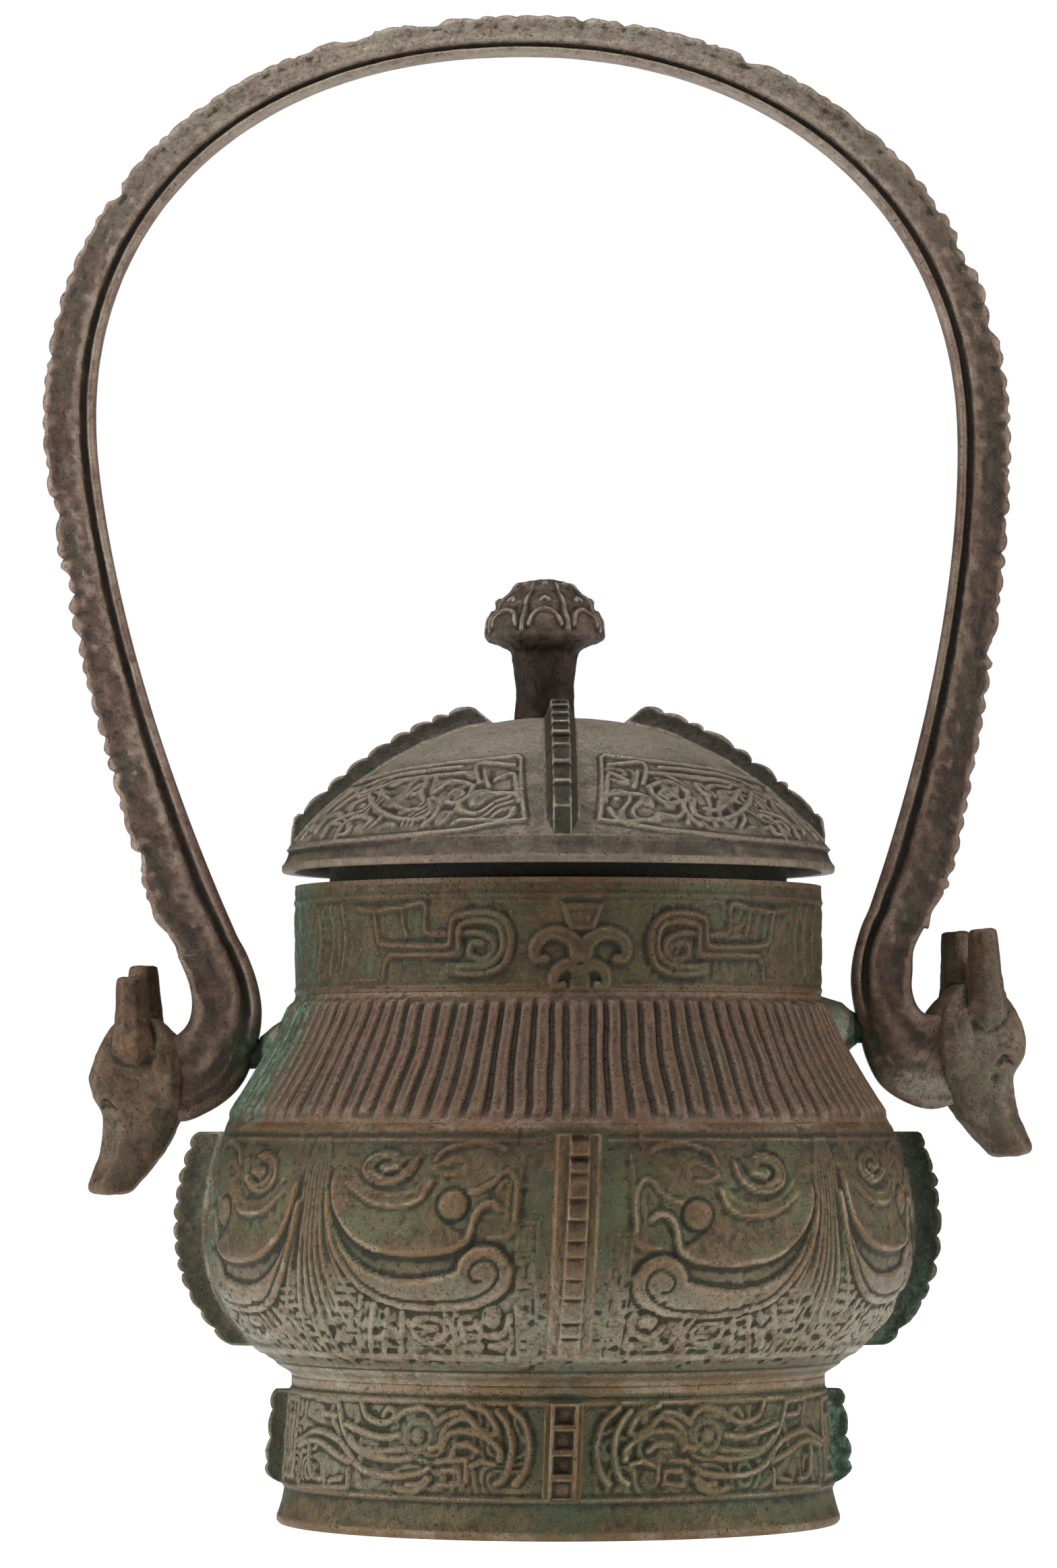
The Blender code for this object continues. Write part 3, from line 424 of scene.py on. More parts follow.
class Relief:
    """Carving on a surface. lay turns (degrees, height) into millimetres over the surface."""

    def __init__(self, degrees, height, lay):
        self.lay = lay
        self.across, self.up = lay(degrees, height)
        self.lift = np.zeros(self.across.shape)

    def line(self, points, straight=False):
        run = np.array(points, float) if straight else through(points)
        return np.column_stack(self.lay(run[:, 0], run[:, 1]))

    def beside(self, line, reach):
        """The points near a line, with their distance from it, side of it and share of the way along."""
        low, high = line.min(0) - reach, line.max(0) + reach
        near = (self.across > low[0]) & (self.across < high[0])
        near &= (self.up > low[1]) & (self.up < high[1])
        x, y = self.across[near], self.up[near]
        best = np.full(x.shape, 1e9)
        side = np.ones(x.shape)
        along = np.zeros(x.shape)
        for i, (p, q) in enumerate(zip(line, line[1:])):
            run = q - p
            t = np.clip(((x - p[0]) * run[0] + (y - p[1]) * run[1]) / max(run @ run, 1e-9), 0, 1)
            dx, dy = x - p[0] - t * run[0], y - p[1] - t * run[1]
            gap = dx * dx + dy * dy
            closer = gap < best
            best = np.where(closer, gap, best)
            side = np.where(closer, np.sign(run[0] * dy - run[1] * dx), side)
            along = np.where(closer, (i + t) / (len(line) - 1), along)
        return near, np.sqrt(best), side, along

    def raise_to(self, near, height):
        self.lift[near] = np.maximum(self.lift[near], height)

    def bar(self, points, width, height, edge=0.5, end_width=None, straight=False, over=False):
        """A raised band with rounded edges; over puts it on top of what is there."""
        end_width = width if end_width is None else end_width
        near, gap, _, along = self.beside(self.line(points, straight), max(width, end_width) / 2 + edge)
        half = (width + (end_width - width) * along) / 2
        shape = soft((half - gap) / edge + 0.5)
        if over:
            self.lift[near] += height * shape
        else:
            self.raise_to(near, height * shape)

    def bars(self, lines, width, height, **kind):
        for line in lines:
            self.bar(line, width, height, **kind)

    def groove(self, points, width, depth, straight=False):
        near, gap, _, _ = self.beside(self.line(points, straight), width)
        self.lift[near] -= depth * soft(1.25 - gap / (width / 2))

    def ledge(self, points, width, height, foot=0.5, drop=0.8, power=1.5):
        """A scoop that rises to its rim on the line's left and drops sharply on its right."""
        near, gap, side, along = self.beside(self.line(points), width)
        fade = soft(along * 9) * soft((1 - along) * 9)
        scoop = foot + (height * fade - foot) * (1 - np.clip(gap / width, 0, 1)) ** power
        step = height * fade * soft(1 - gap / drop)
        self.raise_to(near, np.where(side > 0, scoop, step))

    def boss(self, centre, radius, height, ring=0.0):
        """A round dome, with a groove around it where ring is given."""
        x, y = self.lay(np.array([centre[0]]), np.array([centre[1]]))
        gap = np.hypot(self.across - x[0], self.up - y[0])
        near = gap < radius + 2
        dome = height * np.sqrt(np.clip(1 - (gap[near] / radius) ** 2, 0, 1))
        base = self.lift[near]
        groove = ring * soft(1 - np.abs(gap[near] - radius - 0.35) / 0.7)
        self.lift[near] = np.where(gap[near] < radius, np.maximum(base, height * 0.25 + dome), base - groove)

    def patch(self, points, height, edge=0.8, straight=False):
        """A raised flat area inside a closed outline."""
        outline = self.line([*points, points[0]], straight)
        near, gap, _, _ = self.beside(outline, 60)
        x, y = self.across[near], self.up[near]
        inside = np.zeros(x.shape, bool)
        for p, q in zip(outline, outline[1:]):
            if p[1] != q[1]:
                inside ^= ((p[1] > y) != (q[1] > y)) & (x < (q[0] - p[0]) * (y - p[1]) / (q[1] - p[1]) + p[0])
        self.raise_to(near, height * soft(np.where(inside, gap, -gap) / edge + 0.5))

    def fill(self, share, x, y, z, cell, seed):
        """Curling lines on the ground, as high as share."""
        self.lift = np.maximum(self.lift, share * swirls(x, y, z, cell, seed))

    def square_spiral(self, left, right, low, high, height, line=0.8, step=1.5, turns=2):
        """A thunder pattern: a line that winds inwards in right angles. step is in millimetres of height."""
        wide = step * (right - left) / (self.lay(np.array([left, right]), np.array([low, low]))[0] @ [-1, 1])
        points = [(left, low)]
        for i in range(turns):
            points += [(left + wide * i, high - step * i), (right - wide * i, high - step * i)]
            points += [(right - wide * i, low + step * i), (left + wide * (i + 1), low + step * i)]
        self.bar(points[:-1], line, height, edge=0.4, straight=True, over=True)


def wrapped_grid(name, columns, rows):
    """A flat grid to be wrapped, with the column and row of each of its points."""
    bpy.ops.object.select_all(action="DESELECT")
    bpy.ops.mesh.primitive_grid_add(x_subdivisions=columns, y_subdivisions=rows, size=1, calc_uvs=False)
    piece = bpy.context.object
    piece.name = name
    flat = read_vectors(piece.data.vertices)
    column = np.rint((flat[:, 0] + 0.5) * columns).astype(int)
    row = np.rint((flat[:, 1] + 0.5) * rows).astype(int)
    return piece, column, row


def edge_ends(mesh):
    edges = np.zeros(len(mesh.edges) * 2, int)
    mesh.edges.foreach_get("vertices", edges)
    return edges.reshape(-1, 2)


def close_up(piece, points, sharp=None):
    """Puts a wrapped grid's points, in millimetres, in place and merges the edges that meet."""
    mesh = piece.data
    mesh.vertices.foreach_set("co", (points * MM).astype(np.float32).ravel())
    mesh.shade_smooth()
    if sharp is not None:
        ends = sharp[edge_ends(mesh)]
        mark = mesh.attributes.new("sharp_edge", "BOOLEAN", "EDGE")
        mark.data.foreach_set("value", (ends[:, 0] == ends[:, 1]) & (ends[:, 0] >= 0))
    bpy.ops.object.mode_set(mode="EDIT")
    bpy.ops.mesh.select_all(action="SELECT")
    bpy.ops.mesh.remove_doubles(threshold=0.000001)
    bpy.ops.mesh.normals_make_consistent(inside=False)
    bpy.ops.object.mode_set(mode="OBJECT")
    return piece


def add_ring(name, outline, carve, sharp_rows=(), columns=COLUMNS, untwisted=False, shift=0.0):
    """A turned ring in millimetres. Its outline runs up the outside and back down the inside."""
    outline = np.array(outline, float)
    rows = len(outline)
    ring, column, row = wrapped_grid(name, columns, rows)
    tangent = np.roll(outline, -1, axis=0) - np.roll(outline, 1, axis=0)
    tangent /= np.maximum(np.linalg.norm(tangent, axis=1), 1e-9)[:, None]
    radius, height = outline.T
    step = 2 * math.pi / columns
    twist = 0 if untwisted else math.radians(TWIST_PER_MM)
    turn = np.arange(columns)[:, None] * step + twist * height
    lift = 0
    for towards in (-1, 1):
        near = outline + (np.roll(outline, towards, axis=0) - outline) * SAMPLE_REACH
        for aside in (-SAMPLE_REACH, SAMPLE_REACH):
            at = (np.arange(columns)[:, None] + aside) * step + twist * near[:, 1]
            lift = lift + carve(at, near[:, 0] + 0 * at, near[:, 1] + 0 * at) / 4
    r = radius + lift * tangent[:, 1]
    z = height - lift * tangent[:, 0]
    points = np.stack([AXIS_X / MM + shift + r * np.sin(turn), -r * np.cos(turn), z], axis=-1)
    row %= rows
    sharp = np.where(np.isin(row, list(sharp_rows)), row, -1)
    return close_up(ring, points[column % columns, row], sharp)


# The materials use these values to paint shade into hollows and recesses and highlights onto ridges and
# crests.
def mark_stand_out(piece, rounds=6, full=0.16, broad_rounds=26, broad_full=0.45):
    """Stores how far each point stands above (+) or below (-) the smoothed surface, in shares of full mm.

    "wear" compares it with a little smoothing and "cavity" with much of it.
    """
    mesh = piece.data
    count = len(mesh.vertices)
    points = read_vectors(mesh.vertices).astype(float) / MM
    normals = read_vectors(mesh.vertex_normals, "vector")
    a, b = edge_ends(mesh).T
    degree = np.maximum(np.bincount(a, minlength=count) + np.bincount(b, minlength=count), 1)
    smooth = points.copy()
    for step in range(1, broad_rounds + 1):
        total = np.empty_like(smooth)
        for axis in range(3):
            total[:, axis] = np.bincount(a, smooth[b, axis], count) + np.bincount(b, smooth[a, axis], count)
        smooth = (smooth + total / degree[:, None]) / 2
        if step in (rounds, broad_rounds):
            label, share = ("stand_out", full) if step == rounds else ("cavity", broad_full)
            store(mesh, label, np.clip(((points - smooth) * normals).sum(1) / share, -1.5, 1.5))


def field(turn, height, step):
    """Degrees from the nearest flange of a set step degrees apart, and the side of it (+ is to the right)."""
    twist = TWIST_PER_MM * height
    off = (np.degrees(turn) - twist + step / 2) % step - step / 2
    return np.abs(off), np.sign(off)


def spot(turn, radius):
    """Millimetres to the right and to the back of the axis."""
    return radius * np.sin(turn), -radius * np.cos(turn)


def lay_mask(degrees, height):
    return degrees * MASK_MM_PER_DEGREE, height


FACE = [
    (9.2, 89), (9, 78), (9.3, 70), (10.5, 67.6), (13.4, 67.1), (16.2, 68), (16.9, 66.2), (18.5, 64.4),
    (25.4, 62.9), (32.7, 64.3), (38.3, 69.7), (40.7, 76.5), (40.9, 82), (40.4, 88.8), (23.5, 89.4),
]
CHEEK_RIM = [
    (16.2, 68.4), (16.9, 66.2), (18.5, 64.6), (21, 63.7), (25.4, 63.2), (29.3, 63.6), (32.7, 64.5),
    (35.8, 66.7), (38.3, 69.9), (39.9, 73.2), (40.7, 76.5), (41, 80.6), (40.6, 86),
]
JAW_TOP = [
    (17.6, 60.2), (18.6, 59.5), (20.9, 58.6), (25.1, 57.7), (29.1, 57.8), (32.7, 59.2), (35.9, 61.8),
    (38.2, 65), (39.9, 69.1), (41.3, 76),
]
JAW_LIP = [
    (9.7, 60.6), (10.3, 56.5), (12.4, 54), (15.6, 52.5), (20.7, 52), (26, 52.1), (30.9, 53.2),
    (34.6, 55.4), (37.6, 59.5), (39.8, 64.5), (41.4, 71), (42, 77),
]
JAW_GROOVE = [
    (40.6, 70), (39, 64.6), (37.7, 62.1), (36, 58.9), (33.4, 55.8), (30, 53.9), (25.1, 52.9), (20.5, 53),
    (16, 53.7), (13.4, 55.2), (12, 57.3), (11.6, 59), (12, 61.2), (13.4, 62.3), (15, 61.7), (16.1, 59.7),
    (15.6, 57.6), (14.2, 57.3),
]
SCROLL_CENTRE = (13.9, 59.2)
SCROLL_RADIUS = 6.1
HORN = [
    (25.8, 86.6), (26.6, 83.2), (28.7, 80.4), (31.8, 79.5), (34.6, 81.2), (35.3, 84), (34.1, 86.7),
    (31.5, 87.9), (29.6, 87.4),
]
HORN_INNER = [
    (27.4, 85.6), (28.4, 83.2), (30, 81.9), (31.8, 82), (32.9, 83.5), (32.3, 85.3), (30.8, 85.6),
]
HORN_CORE = [(26.9, 81.8), (28.9, 83.6), (30.6, 83.4), (32, 81.3), (34.2, 82.4)]
TEMPLE = [
    (22.4, 82), (23.3, 78.6), (24.4, 75.9), (26.3, 74.5), (29.7, 74), (33.5, 75), (37.2, 78.2),
    (40.1, 82),
]
TEMPLE_LINE = [(24.6, 79.6), (26, 77.6), (29, 76.5), (32.4, 77.1), (35.4, 79.4), (37.6, 82.6)]
EAR = [(11.6, 88.6), (13.2, 90), (16, 90.6), (19.2, 89.9), (21.6, 88.6), (22.8, 85.9)]
EAR_HOLLOW = [(17.9, 82.9), (17.6, 85.3), (18.9, 86.3), (20.7, 85.4), (23, 83.7), (21, 82), (18.9, 82)]
RIBBON = [
    (9.4, 71), (9.3, 76.9), (9.5, 80.1), (10.5, 82.4), (11.9, 82.1), (12.8, 80.1), (14.9, 78),
    (16.6, 77.4),
]
RIBBON_INNER = [(10.9, 73), (10.4, 78.1), (10.9, 80.3), (11.7, 79.6), (12.2, 77.6)]
LIP = [(11.8, 73.6), (13.2, 74.8), (14.8, 73.9), (15.7, 71.6), (16.2, 68.7), (17.1, 66), (19, 64.6)]
SNOUT = [(8.4, 88), (8.8, 82), (8.9, 76), (9.3, 70.4), (10.1, 67.9), (13.4, 67.1)]
EYE = (19.3, 74.5)
EYE_RADIUS = 3.4
FANGS = [[(20.5, 67.4), (21.5, 69.5), (23, 67.8)], [(25.4, 67.8), (26.6, 70.1), (28.4, 67.8)]]
CLAW = [(9.9, 49.9), (10.6, 48), (12.3, 46.9), (14.2, 47.2), (15.5, 49)]
CLAW_BALL = (12.9, 50.4)
PAW = [(9.9, 49), (9.8, 45.6), (10.6, 42.9)]
LEG_LINES = [
    [(18, 46.2), (18.2, 48.9), (18.9, 51)], [(19.4, 45.9), (19.8, 48.5), (20.6, 50.6)],
    [(28, 51.2), (29.2, 47.5), (30.6, 43.6)], [(30.9, 51.4), (32.4, 47.6), (34.2, 43.4)],
    [(33, 52.4), (35, 48), (37.2, 43.2)], [(35.3, 53.6), (37.4, 48.8), (40.2, 43)],
]
LEG_OVAL = [
    (20.9, 47.6), (21.8, 49.4), (24.2, 50), (26.4, 49.2), (26.8, 46.9), (25, 45.4), (22.4, 45.6),
    (20.9, 47.6),
]
LEG_OVAL_BARS = [[(22.3, 48.2), (25.4, 48.6)], [(22.2, 46.8), (24.3, 46.7)]]
SPRAY = [
    [(43.7, 92), (42.6, 84), (42.5, 76), (41.2, 66), (38.6, 57), (36.6, 51.5)],
    [(44.1, 92), (43.4, 84), (43.4, 75), (42.6, 64), (40.9, 54), (39.2, 47), (38, 43)],
    [(44.5, 92), (44.2, 82), (44.1, 72), (43.8, 62), (43, 52), (42, 43)],
    [(45, 92), (45, 43)],
]
HATCH = [((36.9, 57), (39.2, 57.4)), ((36.4, 55), (39.4, 55.3)), ((36.6, 53), (40.3, 53.3)),
         ((37.6, 50.9), (41, 51.2)), ((38.4, 48.8), (41.6, 49)), ((39.2, 46.7), (41.9, 46.8))]
THUNDER_COLUMN = [(64.6, 70.6), (57.4, 63.4), (49.8, 56.2), (43.2, 48.6)]


def carve_belly(turn, radius, height):
    outer = (height > BELLY_FOOT_HEIGHT - 1) & (radius > belly_radius(height) - 1)
    degrees, side = field(turn, height, MASK_STEP)
    middle = soft((height - 44) / 14) * soft((93 - height) / 14)
    r = Relief(degrees, height - HALVES_APART * middle * (side < 0), lay_mask)
    r.patch(FACE, 0.35, edge=4.0)
    r.ledge(CHEEK_RIM, 9.0, 1.7)
    r.patch([*JAW_TOP, *JAW_LIP[::-1]], 1.25, edge=0.7)
    r.patch(oval(SCROLL_CENTRE, SCROLL_RADIUS / MASK_MM_PER_DEGREE, SCROLL_RADIUS, 16), 1.3, edge=0.9)
    r.bar(JAW_LIP, 1.3, 1.45, edge=0.7)
    r.groove(JAW_GROOVE, 0.9, 0.65)
    r.ledge(TEMPLE, 3.6, 1.35)
    r.bar(TEMPLE_LINE, 0.9, 0.35, over=True)
    r.patch(HORN, 1.3, edge=3.2)
    r.bar(HORN, 1.3, 1.45, edge=0.8, end_width=0.9)
    r.groove(HORN_INNER, 1.5, 0.85)
    r.bar(HORN_CORE, 1.0, 0.5, edge=0.7, over=True)
    r.bar(EAR, 1.2, 1.2, edge=0.7)
    r.bar(EAR_HOLLOW, 0.9, 0.4, over=True)
    r.bar(RIBBON, 1.0, 0.65, edge=0.6, over=True)
    r.bar(RIBBON_INNER, 0.8, 0.35, over=True)
    r.bar(LIP, 1.5, 1.25, edge=0.9)
    r.bar(SNOUT, 0.9, 0.4, over=True)
    r.boss(EYE, EYE_RADIUS, 1.25, ring=0.35)
    r.bars(FANGS, 1.1, 0.25, edge=0.9, over=True)
    r.boss(CLAW_BALL, 2.2, 0.75, ring=0.2)
    r.bar(CLAW, 1.3, 1.0, edge=0.7)
    r.bar(PAW, 0.8, 0.6)
    r.bars(LEG_LINES, 1.2, 0.6, edge=0.6)
    r.bar(LEG_OVAL, 0.9, 0.65)
    r.bars(LEG_OVAL_BARS, 0.8, 0.5)
    r.bars(SPRAY, 0.8, 0.6, edge=0.45)
    r.bars(HATCH, 0.9, 0.5, straight=True)
    for low, high in THUNDER_COLUMN:
        r.square_spiral(5.6, 8.8, low, high, height=0.3)
    for level in (91.3, 93.6):
        r.bar([(5.0, level), (45.0, level)], 0.8, 0.5, straight=True, over=True)
    r.bar([(0.0, 41.9), (45.0, 41.9)], 1.3, 0.7, straight=True)
    x, y = spot(turn, radius)
    paws = soft((52 - height) / 2) * soft((degrees - 9) / 2) * soft((height - 43) / 2)
    column = soft((degrees - 5.2) / 0.6) * soft((9.3 - degrees) / 0.6) * soft((68 - height) / 5)
    r.fill(0.42 * np.maximum(paws, column), x, y, height, 10.5, 6)
    worn = 0.80 + lumps(x, y, height, (0.28, 6, 3))
    rough = lumps(x, y, height, (0.09, 1.6, 5), (0.12, 7, 7))
    pits = soft((mottle(x, y, height * 1.6, 2.1, 4) - 0.30) / 0.25)
    rough = rough - 0.45 * pits * (0.25 + 0.75 * soft((60 - height) / 8))
    return np.where(outer, r.lift * worn + rough, 0)


def wall_rows(radius_at, start, end, count, inset=0.0):
    """Points on a wall from one height to another. inset puts them on its inside."""
    return [(radius_at(level) - inset, level) for level in np.linspace(start, end, count)]


def waist_radius(height):
    share = soft((height - WAIST_HEIGHT) / (LEDGE_HEIGHT - WAIST_HEIGHT))
    return WAIST_RADIUS + (LEDGE_RADIUS - WAIST_RADIUS) * share


def ledge_radius(height):
    share = (height - LEDGE_HEIGHT) / (BELLY_FOOT_HEIGHT - LEDGE_HEIGHT)
    return LEDGE_RADIUS + (BELLY_FOOT_RADIUS - LEDGE_RADIUS) * share


belly_outline = [
    *wall_rows(waist_radius, WAIST_HEIGHT, LEDGE_HEIGHT, 6),
    *wall_rows(ledge_radius, LEDGE_HEIGHT + 0.6, BELLY_FOOT_HEIGHT - 0.4, 3),
    *wall_rows(belly_radius, BELLY_FOOT_HEIGHT, SHOULDER_HEIGHT, BELLY_ROWS),
    *wall_rows(belly_radius, SHOULDER_HEIGHT, BELLY_INSIDE_LOW, 8, WALL),
    (FLOOR_EDGE_RADIUS, FLOOR_HEIGHT),
    (FLOOR_EDGE_RADIUS, FLOOR_HEIGHT - WALL),
]
belly = add_ring("belly", belly_outline, carve_belly, sharp_rows=(8 + BELLY_ROWS, 0))
mark_stand_out(belly)


def beside_flanges(degrees, height):
    """1 next to a flange of the vessel, 0 from about ten degrees off."""
    off = np.abs((degrees - TWIST_PER_MM * height + 45) % 90 - 45)
    return soft((10 - off) / 6)


# Pale crust mixed with painted light: lighter towards the bottom and the sides of the belly, and on the waist
# towards the left.
def belly_crust_and_painted_light(degrees, radius, height):
    low = soft((68 - height) / 18) * (0.55 + 0.3 * soft((np.abs(degrees) - 40) / 40))
    waist = 0.9 * soft((41 - height) / 3) * soft((-degrees + 10) / 60)
    return np.maximum(low * (1 - 0.6 * soft((42 - height) / 3)), waist) * (radius > 60)


def belly_verdigris(degrees, radius, height):
    left_edge = 0.5 * soft((-degrees - 62) / 20) * soft((120 + degrees) / 20)
    strength = 0.22 + 0.5 * soft((degrees - 30) / 40) + 0.15 * soft((-degrees - 30) / 40)
    return strength * beside_flanges(degrees, height) + left_edge


# Pale crust mixed with painted light on the lower belly.
stain(belly, "crust_and_painted_light", belly_crust_and_painted_light)
# Painted shade: darker towards the top of the belly.
stain(belly, "painted_shade", lambda degrees, radius, height: 0.60 * soft((height - 78) / 14))
stain(belly, "verdigris", belly_verdigris)
belly_bronze = bronze(
    "belly_bronze", skin=(0.11, 0.074, 0.036), ridge=(0.2, 0.114, 0.056), hollow=(0.014, 0.01, 0.005),
    green=(0.110, 0.122, 0.056), green_amount=0.75, dust=(0.092, 0.06, 0.03), dust_amount=0.8,
    worn_and_glint=0.4,
)
belongs(belly, belly_bronze)


# The shoulder.
# A band of upright ribs cast between the belly and the neck. The ribs end square under the neck's border
# and rounded above the belly, and a wider stem comes down from the neck's plant at the front and the back.
NECK_RADIUS = 62.8
NECK_FOOT_HEIGHT = 125.3
RIBS = 104
RIB_HEIGHT = 1.1
STEM_WIDTH = 5.0


def shoulder_radius(height):
    fall = np.maximum(NECK_FOOT_HEIGHT - height, 0) / (NECK_FOOT_HEIGHT - SHOULDER_HEIGHT)
    return NECK_RADIUS + (SHOULDER_RADIUS - NECK_RADIUS) * fall**1.25


def carve_shoulder(turn, radius, height):
    outer = radius > shoulder_radius(height) - 1
    x, y = spot(turn, radius)
    phase = (np.degrees(turn) - TWIST_PER_MM * height) * RIBS / 360 + 0.16 * mottle(x, y, height, 11, 22)
    number = np.floor(phase + 0.5)
    off = np.abs(phase - number)
    number = number.astype(int) % RIBS
    dice = np.random.default_rng(21)
    tall = dice.uniform(0.8, 1.1, RIBS)[number]
    low_end = 96.2 + dice.uniform(-0.3, 0.6, RIBS)[number]
    high_end = 124.0 + dice.uniform(-0.5, 0.4, RIBS)[number]
    ends = np.sqrt(soft((height - low_end) / 1.6)) * soft((high_end - height) / 1.3)
    rib = soft((0.41 - off) / 0.16) * tall
    degrees, _ = field(turn, height, 180)
    across = degrees * math.pi / 180 * radius
    stem = soft((STEM_WIDTH / 2 - across) / 0.8) * (1 - 0.3 * soft(1 - across / 0.7))
    rib = np.where(across < STEM_WIDTH / 2 + 1.4, stem * 1.1, rib)
    rough = lumps(x, y, height, (0.10, 6, 8), (0.05, 1.5, 9))
    fade = soft((height - SHOULDER_HEIGHT) / 0.8) * soft((NECK_FOOT_HEIGHT - height) / 0.8)
    return np.where(outer, RIB_HEIGHT * ends * rib + rough * fade, 0)


shoulder_outline = [
    *wall_rows(shoulder_radius, SHOULDER_HEIGHT, NECK_FOOT_HEIGHT, 40),
    *wall_rows(shoulder_radius, NECK_FOOT_HEIGHT, SHOULDER_HEIGHT, 6, WALL),
]
shoulder = add_ring("shoulder", shoulder_outline, carve_shoulder, sharp_rows=(0, 39, 40, 45))
mark_stand_out(shoulder)
# Painted shade: darker at the front middle of the shoulder.
stain(shoulder, "painted_shade", lambda degrees, radius, height: 0.28 * soft((40 - np.abs(degrees - 5)) / 35))
stain(shoulder, "verdigris", lambda degrees, radius, height: 0.9 * soft((np.abs(degrees + 90) - 34) / -16))
shoulder_bronze = bronze(
    "shoulder_bronze", skin=(0.112, 0.064, 0.038), ridge=(0.164, 0.098, 0.062), hollow=(0.064, 0.044, 0.027),
    green=(0.082, 0.078, 0.037), green_amount=0.5, dust=(0.096, 0.063, 0.037), dust_amount=0.7,
    worn_and_glint=0.12,
)
belongs(shoulder, shoulder_bronze)


# The neck and its collar.
# An upright band with lines that wind into square scrolls on both sides of a small plant, and inside it the
# low collar that carries the lid.
RIM_HEIGHT = 151.5
COLLAR_RADIUS = 54.6
COLLAR_TOP = 164.7
NECK_MM_PER_DEGREE = 1.098
NECK_LINES = [
    [(47.1, 144.4), (45.9, 138), (43.9, 136.4), (36, 136), (29.2, 135.9), (27.9, 137.3), (27.6, 141.6),
     (25.5, 143), (20.2, 143.5), (16.5, 141.9), (14.9, 138.8), (14.8, 134.8), (16.1, 131.3), (19, 129.7)],
    [(44.6, 128.4), (43.3, 133.2), (38, 133.8), (32.4, 133.8), (27.5, 133.7), (25.6, 134.5), (25.9, 137.7),
     (25.6, 140.2), (23, 141.3), (20.2, 141.5), (17.2, 140.3), (16.2, 136.8), (16.9, 133.7), (19.8, 131.3),
     (25, 131.2), (28.3, 131.4)],
    [(25, 138.8), (21.6, 138.8), (18.5, 137.2), (18.1, 134.8), (19.5, 133), (21.3, 132.6), (23.4, 134),
     (22.9, 136.4), (20.8, 136.4)],
    [(53, 144.9), (47.6, 144.4), (40.5, 144.8), (34.4, 145.7), (33.9, 141.5), (33.4, 139), (29.3, 138.5)],
    [(39.6, 144.2), (39.3, 141), (38.5, 138.6)],
    [(58, 145.6), (56.4, 138), (57.6, 130)], [(62.5, 145.6), (60.8, 138), (62.3, 130)],
    [(68, 145), (66.5, 138), (68, 131)],
    [(28.3, 130), (24, 129.4), (20.5, 129.4)],
]
NECK_BANDS = [
    [(46, 143), (44.6, 136.2), (38, 134.9), (30, 134.8), (27.2, 135.6), (26.8, 139), (26, 141.8),
     (20.2, 142.5), (16.8, 141.1), (15.5, 137.8), (15.7, 134.2), (16.6, 132.3), (19.4, 130.5), (25, 130.2)],
]
NECK_BORDERS = [((0, 147.5), (90, 147.5)), ((8, 146.1), (32, 146.1)), ((46, 128.3), (54, 128.3)),
                ((9, 126.8), (46, 126.6)), ((54, 126.6), (90, 126.6))]
PLANT_CURLS = [
    ([(0.6, 133.6), (1.2, 136.2), (3.2, 138), (6, 138.6), (8.6, 137.3), (9.7, 134.9), (9.1, 132.8),
      (7.6, 132.7)], 3.6, 1.9),
    ([(0.6, 130.2), (2.6, 131.4), (4.8, 130.2), (5.6, 127.8), (4.9, 126.4), (3.6, 126.8)], 2.9, 1.6),
]
PLANT_STEM = [(0, 133), (0, 129), (0, 124.6)]
NECK_RELIEF = 0.66


def neck_radius(height):
    return NECK_RADIUS


def lay_neck(degrees, height):
    return degrees * NECK_MM_PER_DEGREE, height


def carve_neck(turn, radius, height):
    outer = (radius > NECK_RADIUS - 1) & (height < RIM_HEIGHT - 1)
    degrees, _ = field(turn, height, 180)
    r = Relief(degrees, height, lay_neck)
    r.bars(NECK_BANDS, 3.2, 0.6, edge=0.8)
    r.bars(NECK_LINES, 1.4, 0.95, edge=0.8, over=True)
    r.bars(NECK_BORDERS, 0.9, 0.5, straight=True)
    r.patch([(-4.3, 145.4), (-2.6, 139.4), (2.6, 139.4), (4.3, 145.4)], 1.0, edge=0.6, straight=True)
    r.groove([(0.0, 143.8), (2.6, 143.8), (1.7, 140.9), (0.0, 140.9)], 0.8, 0.5, straight=True)
    r.bar(PLANT_STEM, 3.0, 0.9, edge=0.8, end_width=5.0)
    for line, width, end in PLANT_CURLS:
        r.bar(line, width, 1.5, edge=1.1, end_width=end)
    x, y = spot(turn, radius)
    ground = soft(height - 127.5) * soft(146 - height) * soft((degrees - 13) / 2)
    r.fill(0.3 * ground, x, y, height, 8.0, 12)
    rough = lumps(x, y, height, (0.10, 8, 10), (0.08, 1.5, 11))
    fade = soft((height - NECK_FOOT_HEIGHT) / 0.8)
    return np.where(outer, (NECK_RELIEF * r.lift + rough) * fade, 0)


neck_outline = [
    *wall_rows(neck_radius, NECK_FOOT_HEIGHT, RIM_HEIGHT, 54),
    (COLLAR_RADIUS, RIM_HEIGHT),
    (COLLAR_RADIUS, COLLAR_TOP),
    (COLLAR_RADIUS - WALL, COLLAR_TOP),
    (COLLAR_RADIUS - WALL, RIM_HEIGHT - WALL),
    *wall_rows(neck_radius, RIM_HEIGHT - WALL, NECK_FOOT_HEIGHT, 3, WALL),
]
neck = add_ring("neck", neck_outline, carve_neck, sharp_rows=range(53, 61))
mark_stand_out(neck)
stain(neck, "verdigris", lambda degrees, radius, height: 0.7 * soft((np.abs(degrees + 90) - 30) / -16))
neck_bronze = bronze(
    "neck_bronze", skin=(0.074, 0.043, 0.018), ridge=(0.11, 0.062, 0.027), hollow=(0.024, 0.017, 0.008),
    green=(0.072, 0.08, 0.033), green_amount=0.8, dust=(0.07, 0.05, 0.024), dust_amount=0.8,
    worn_and_glint=0.08,
)
belongs(neck, neck_bronze)


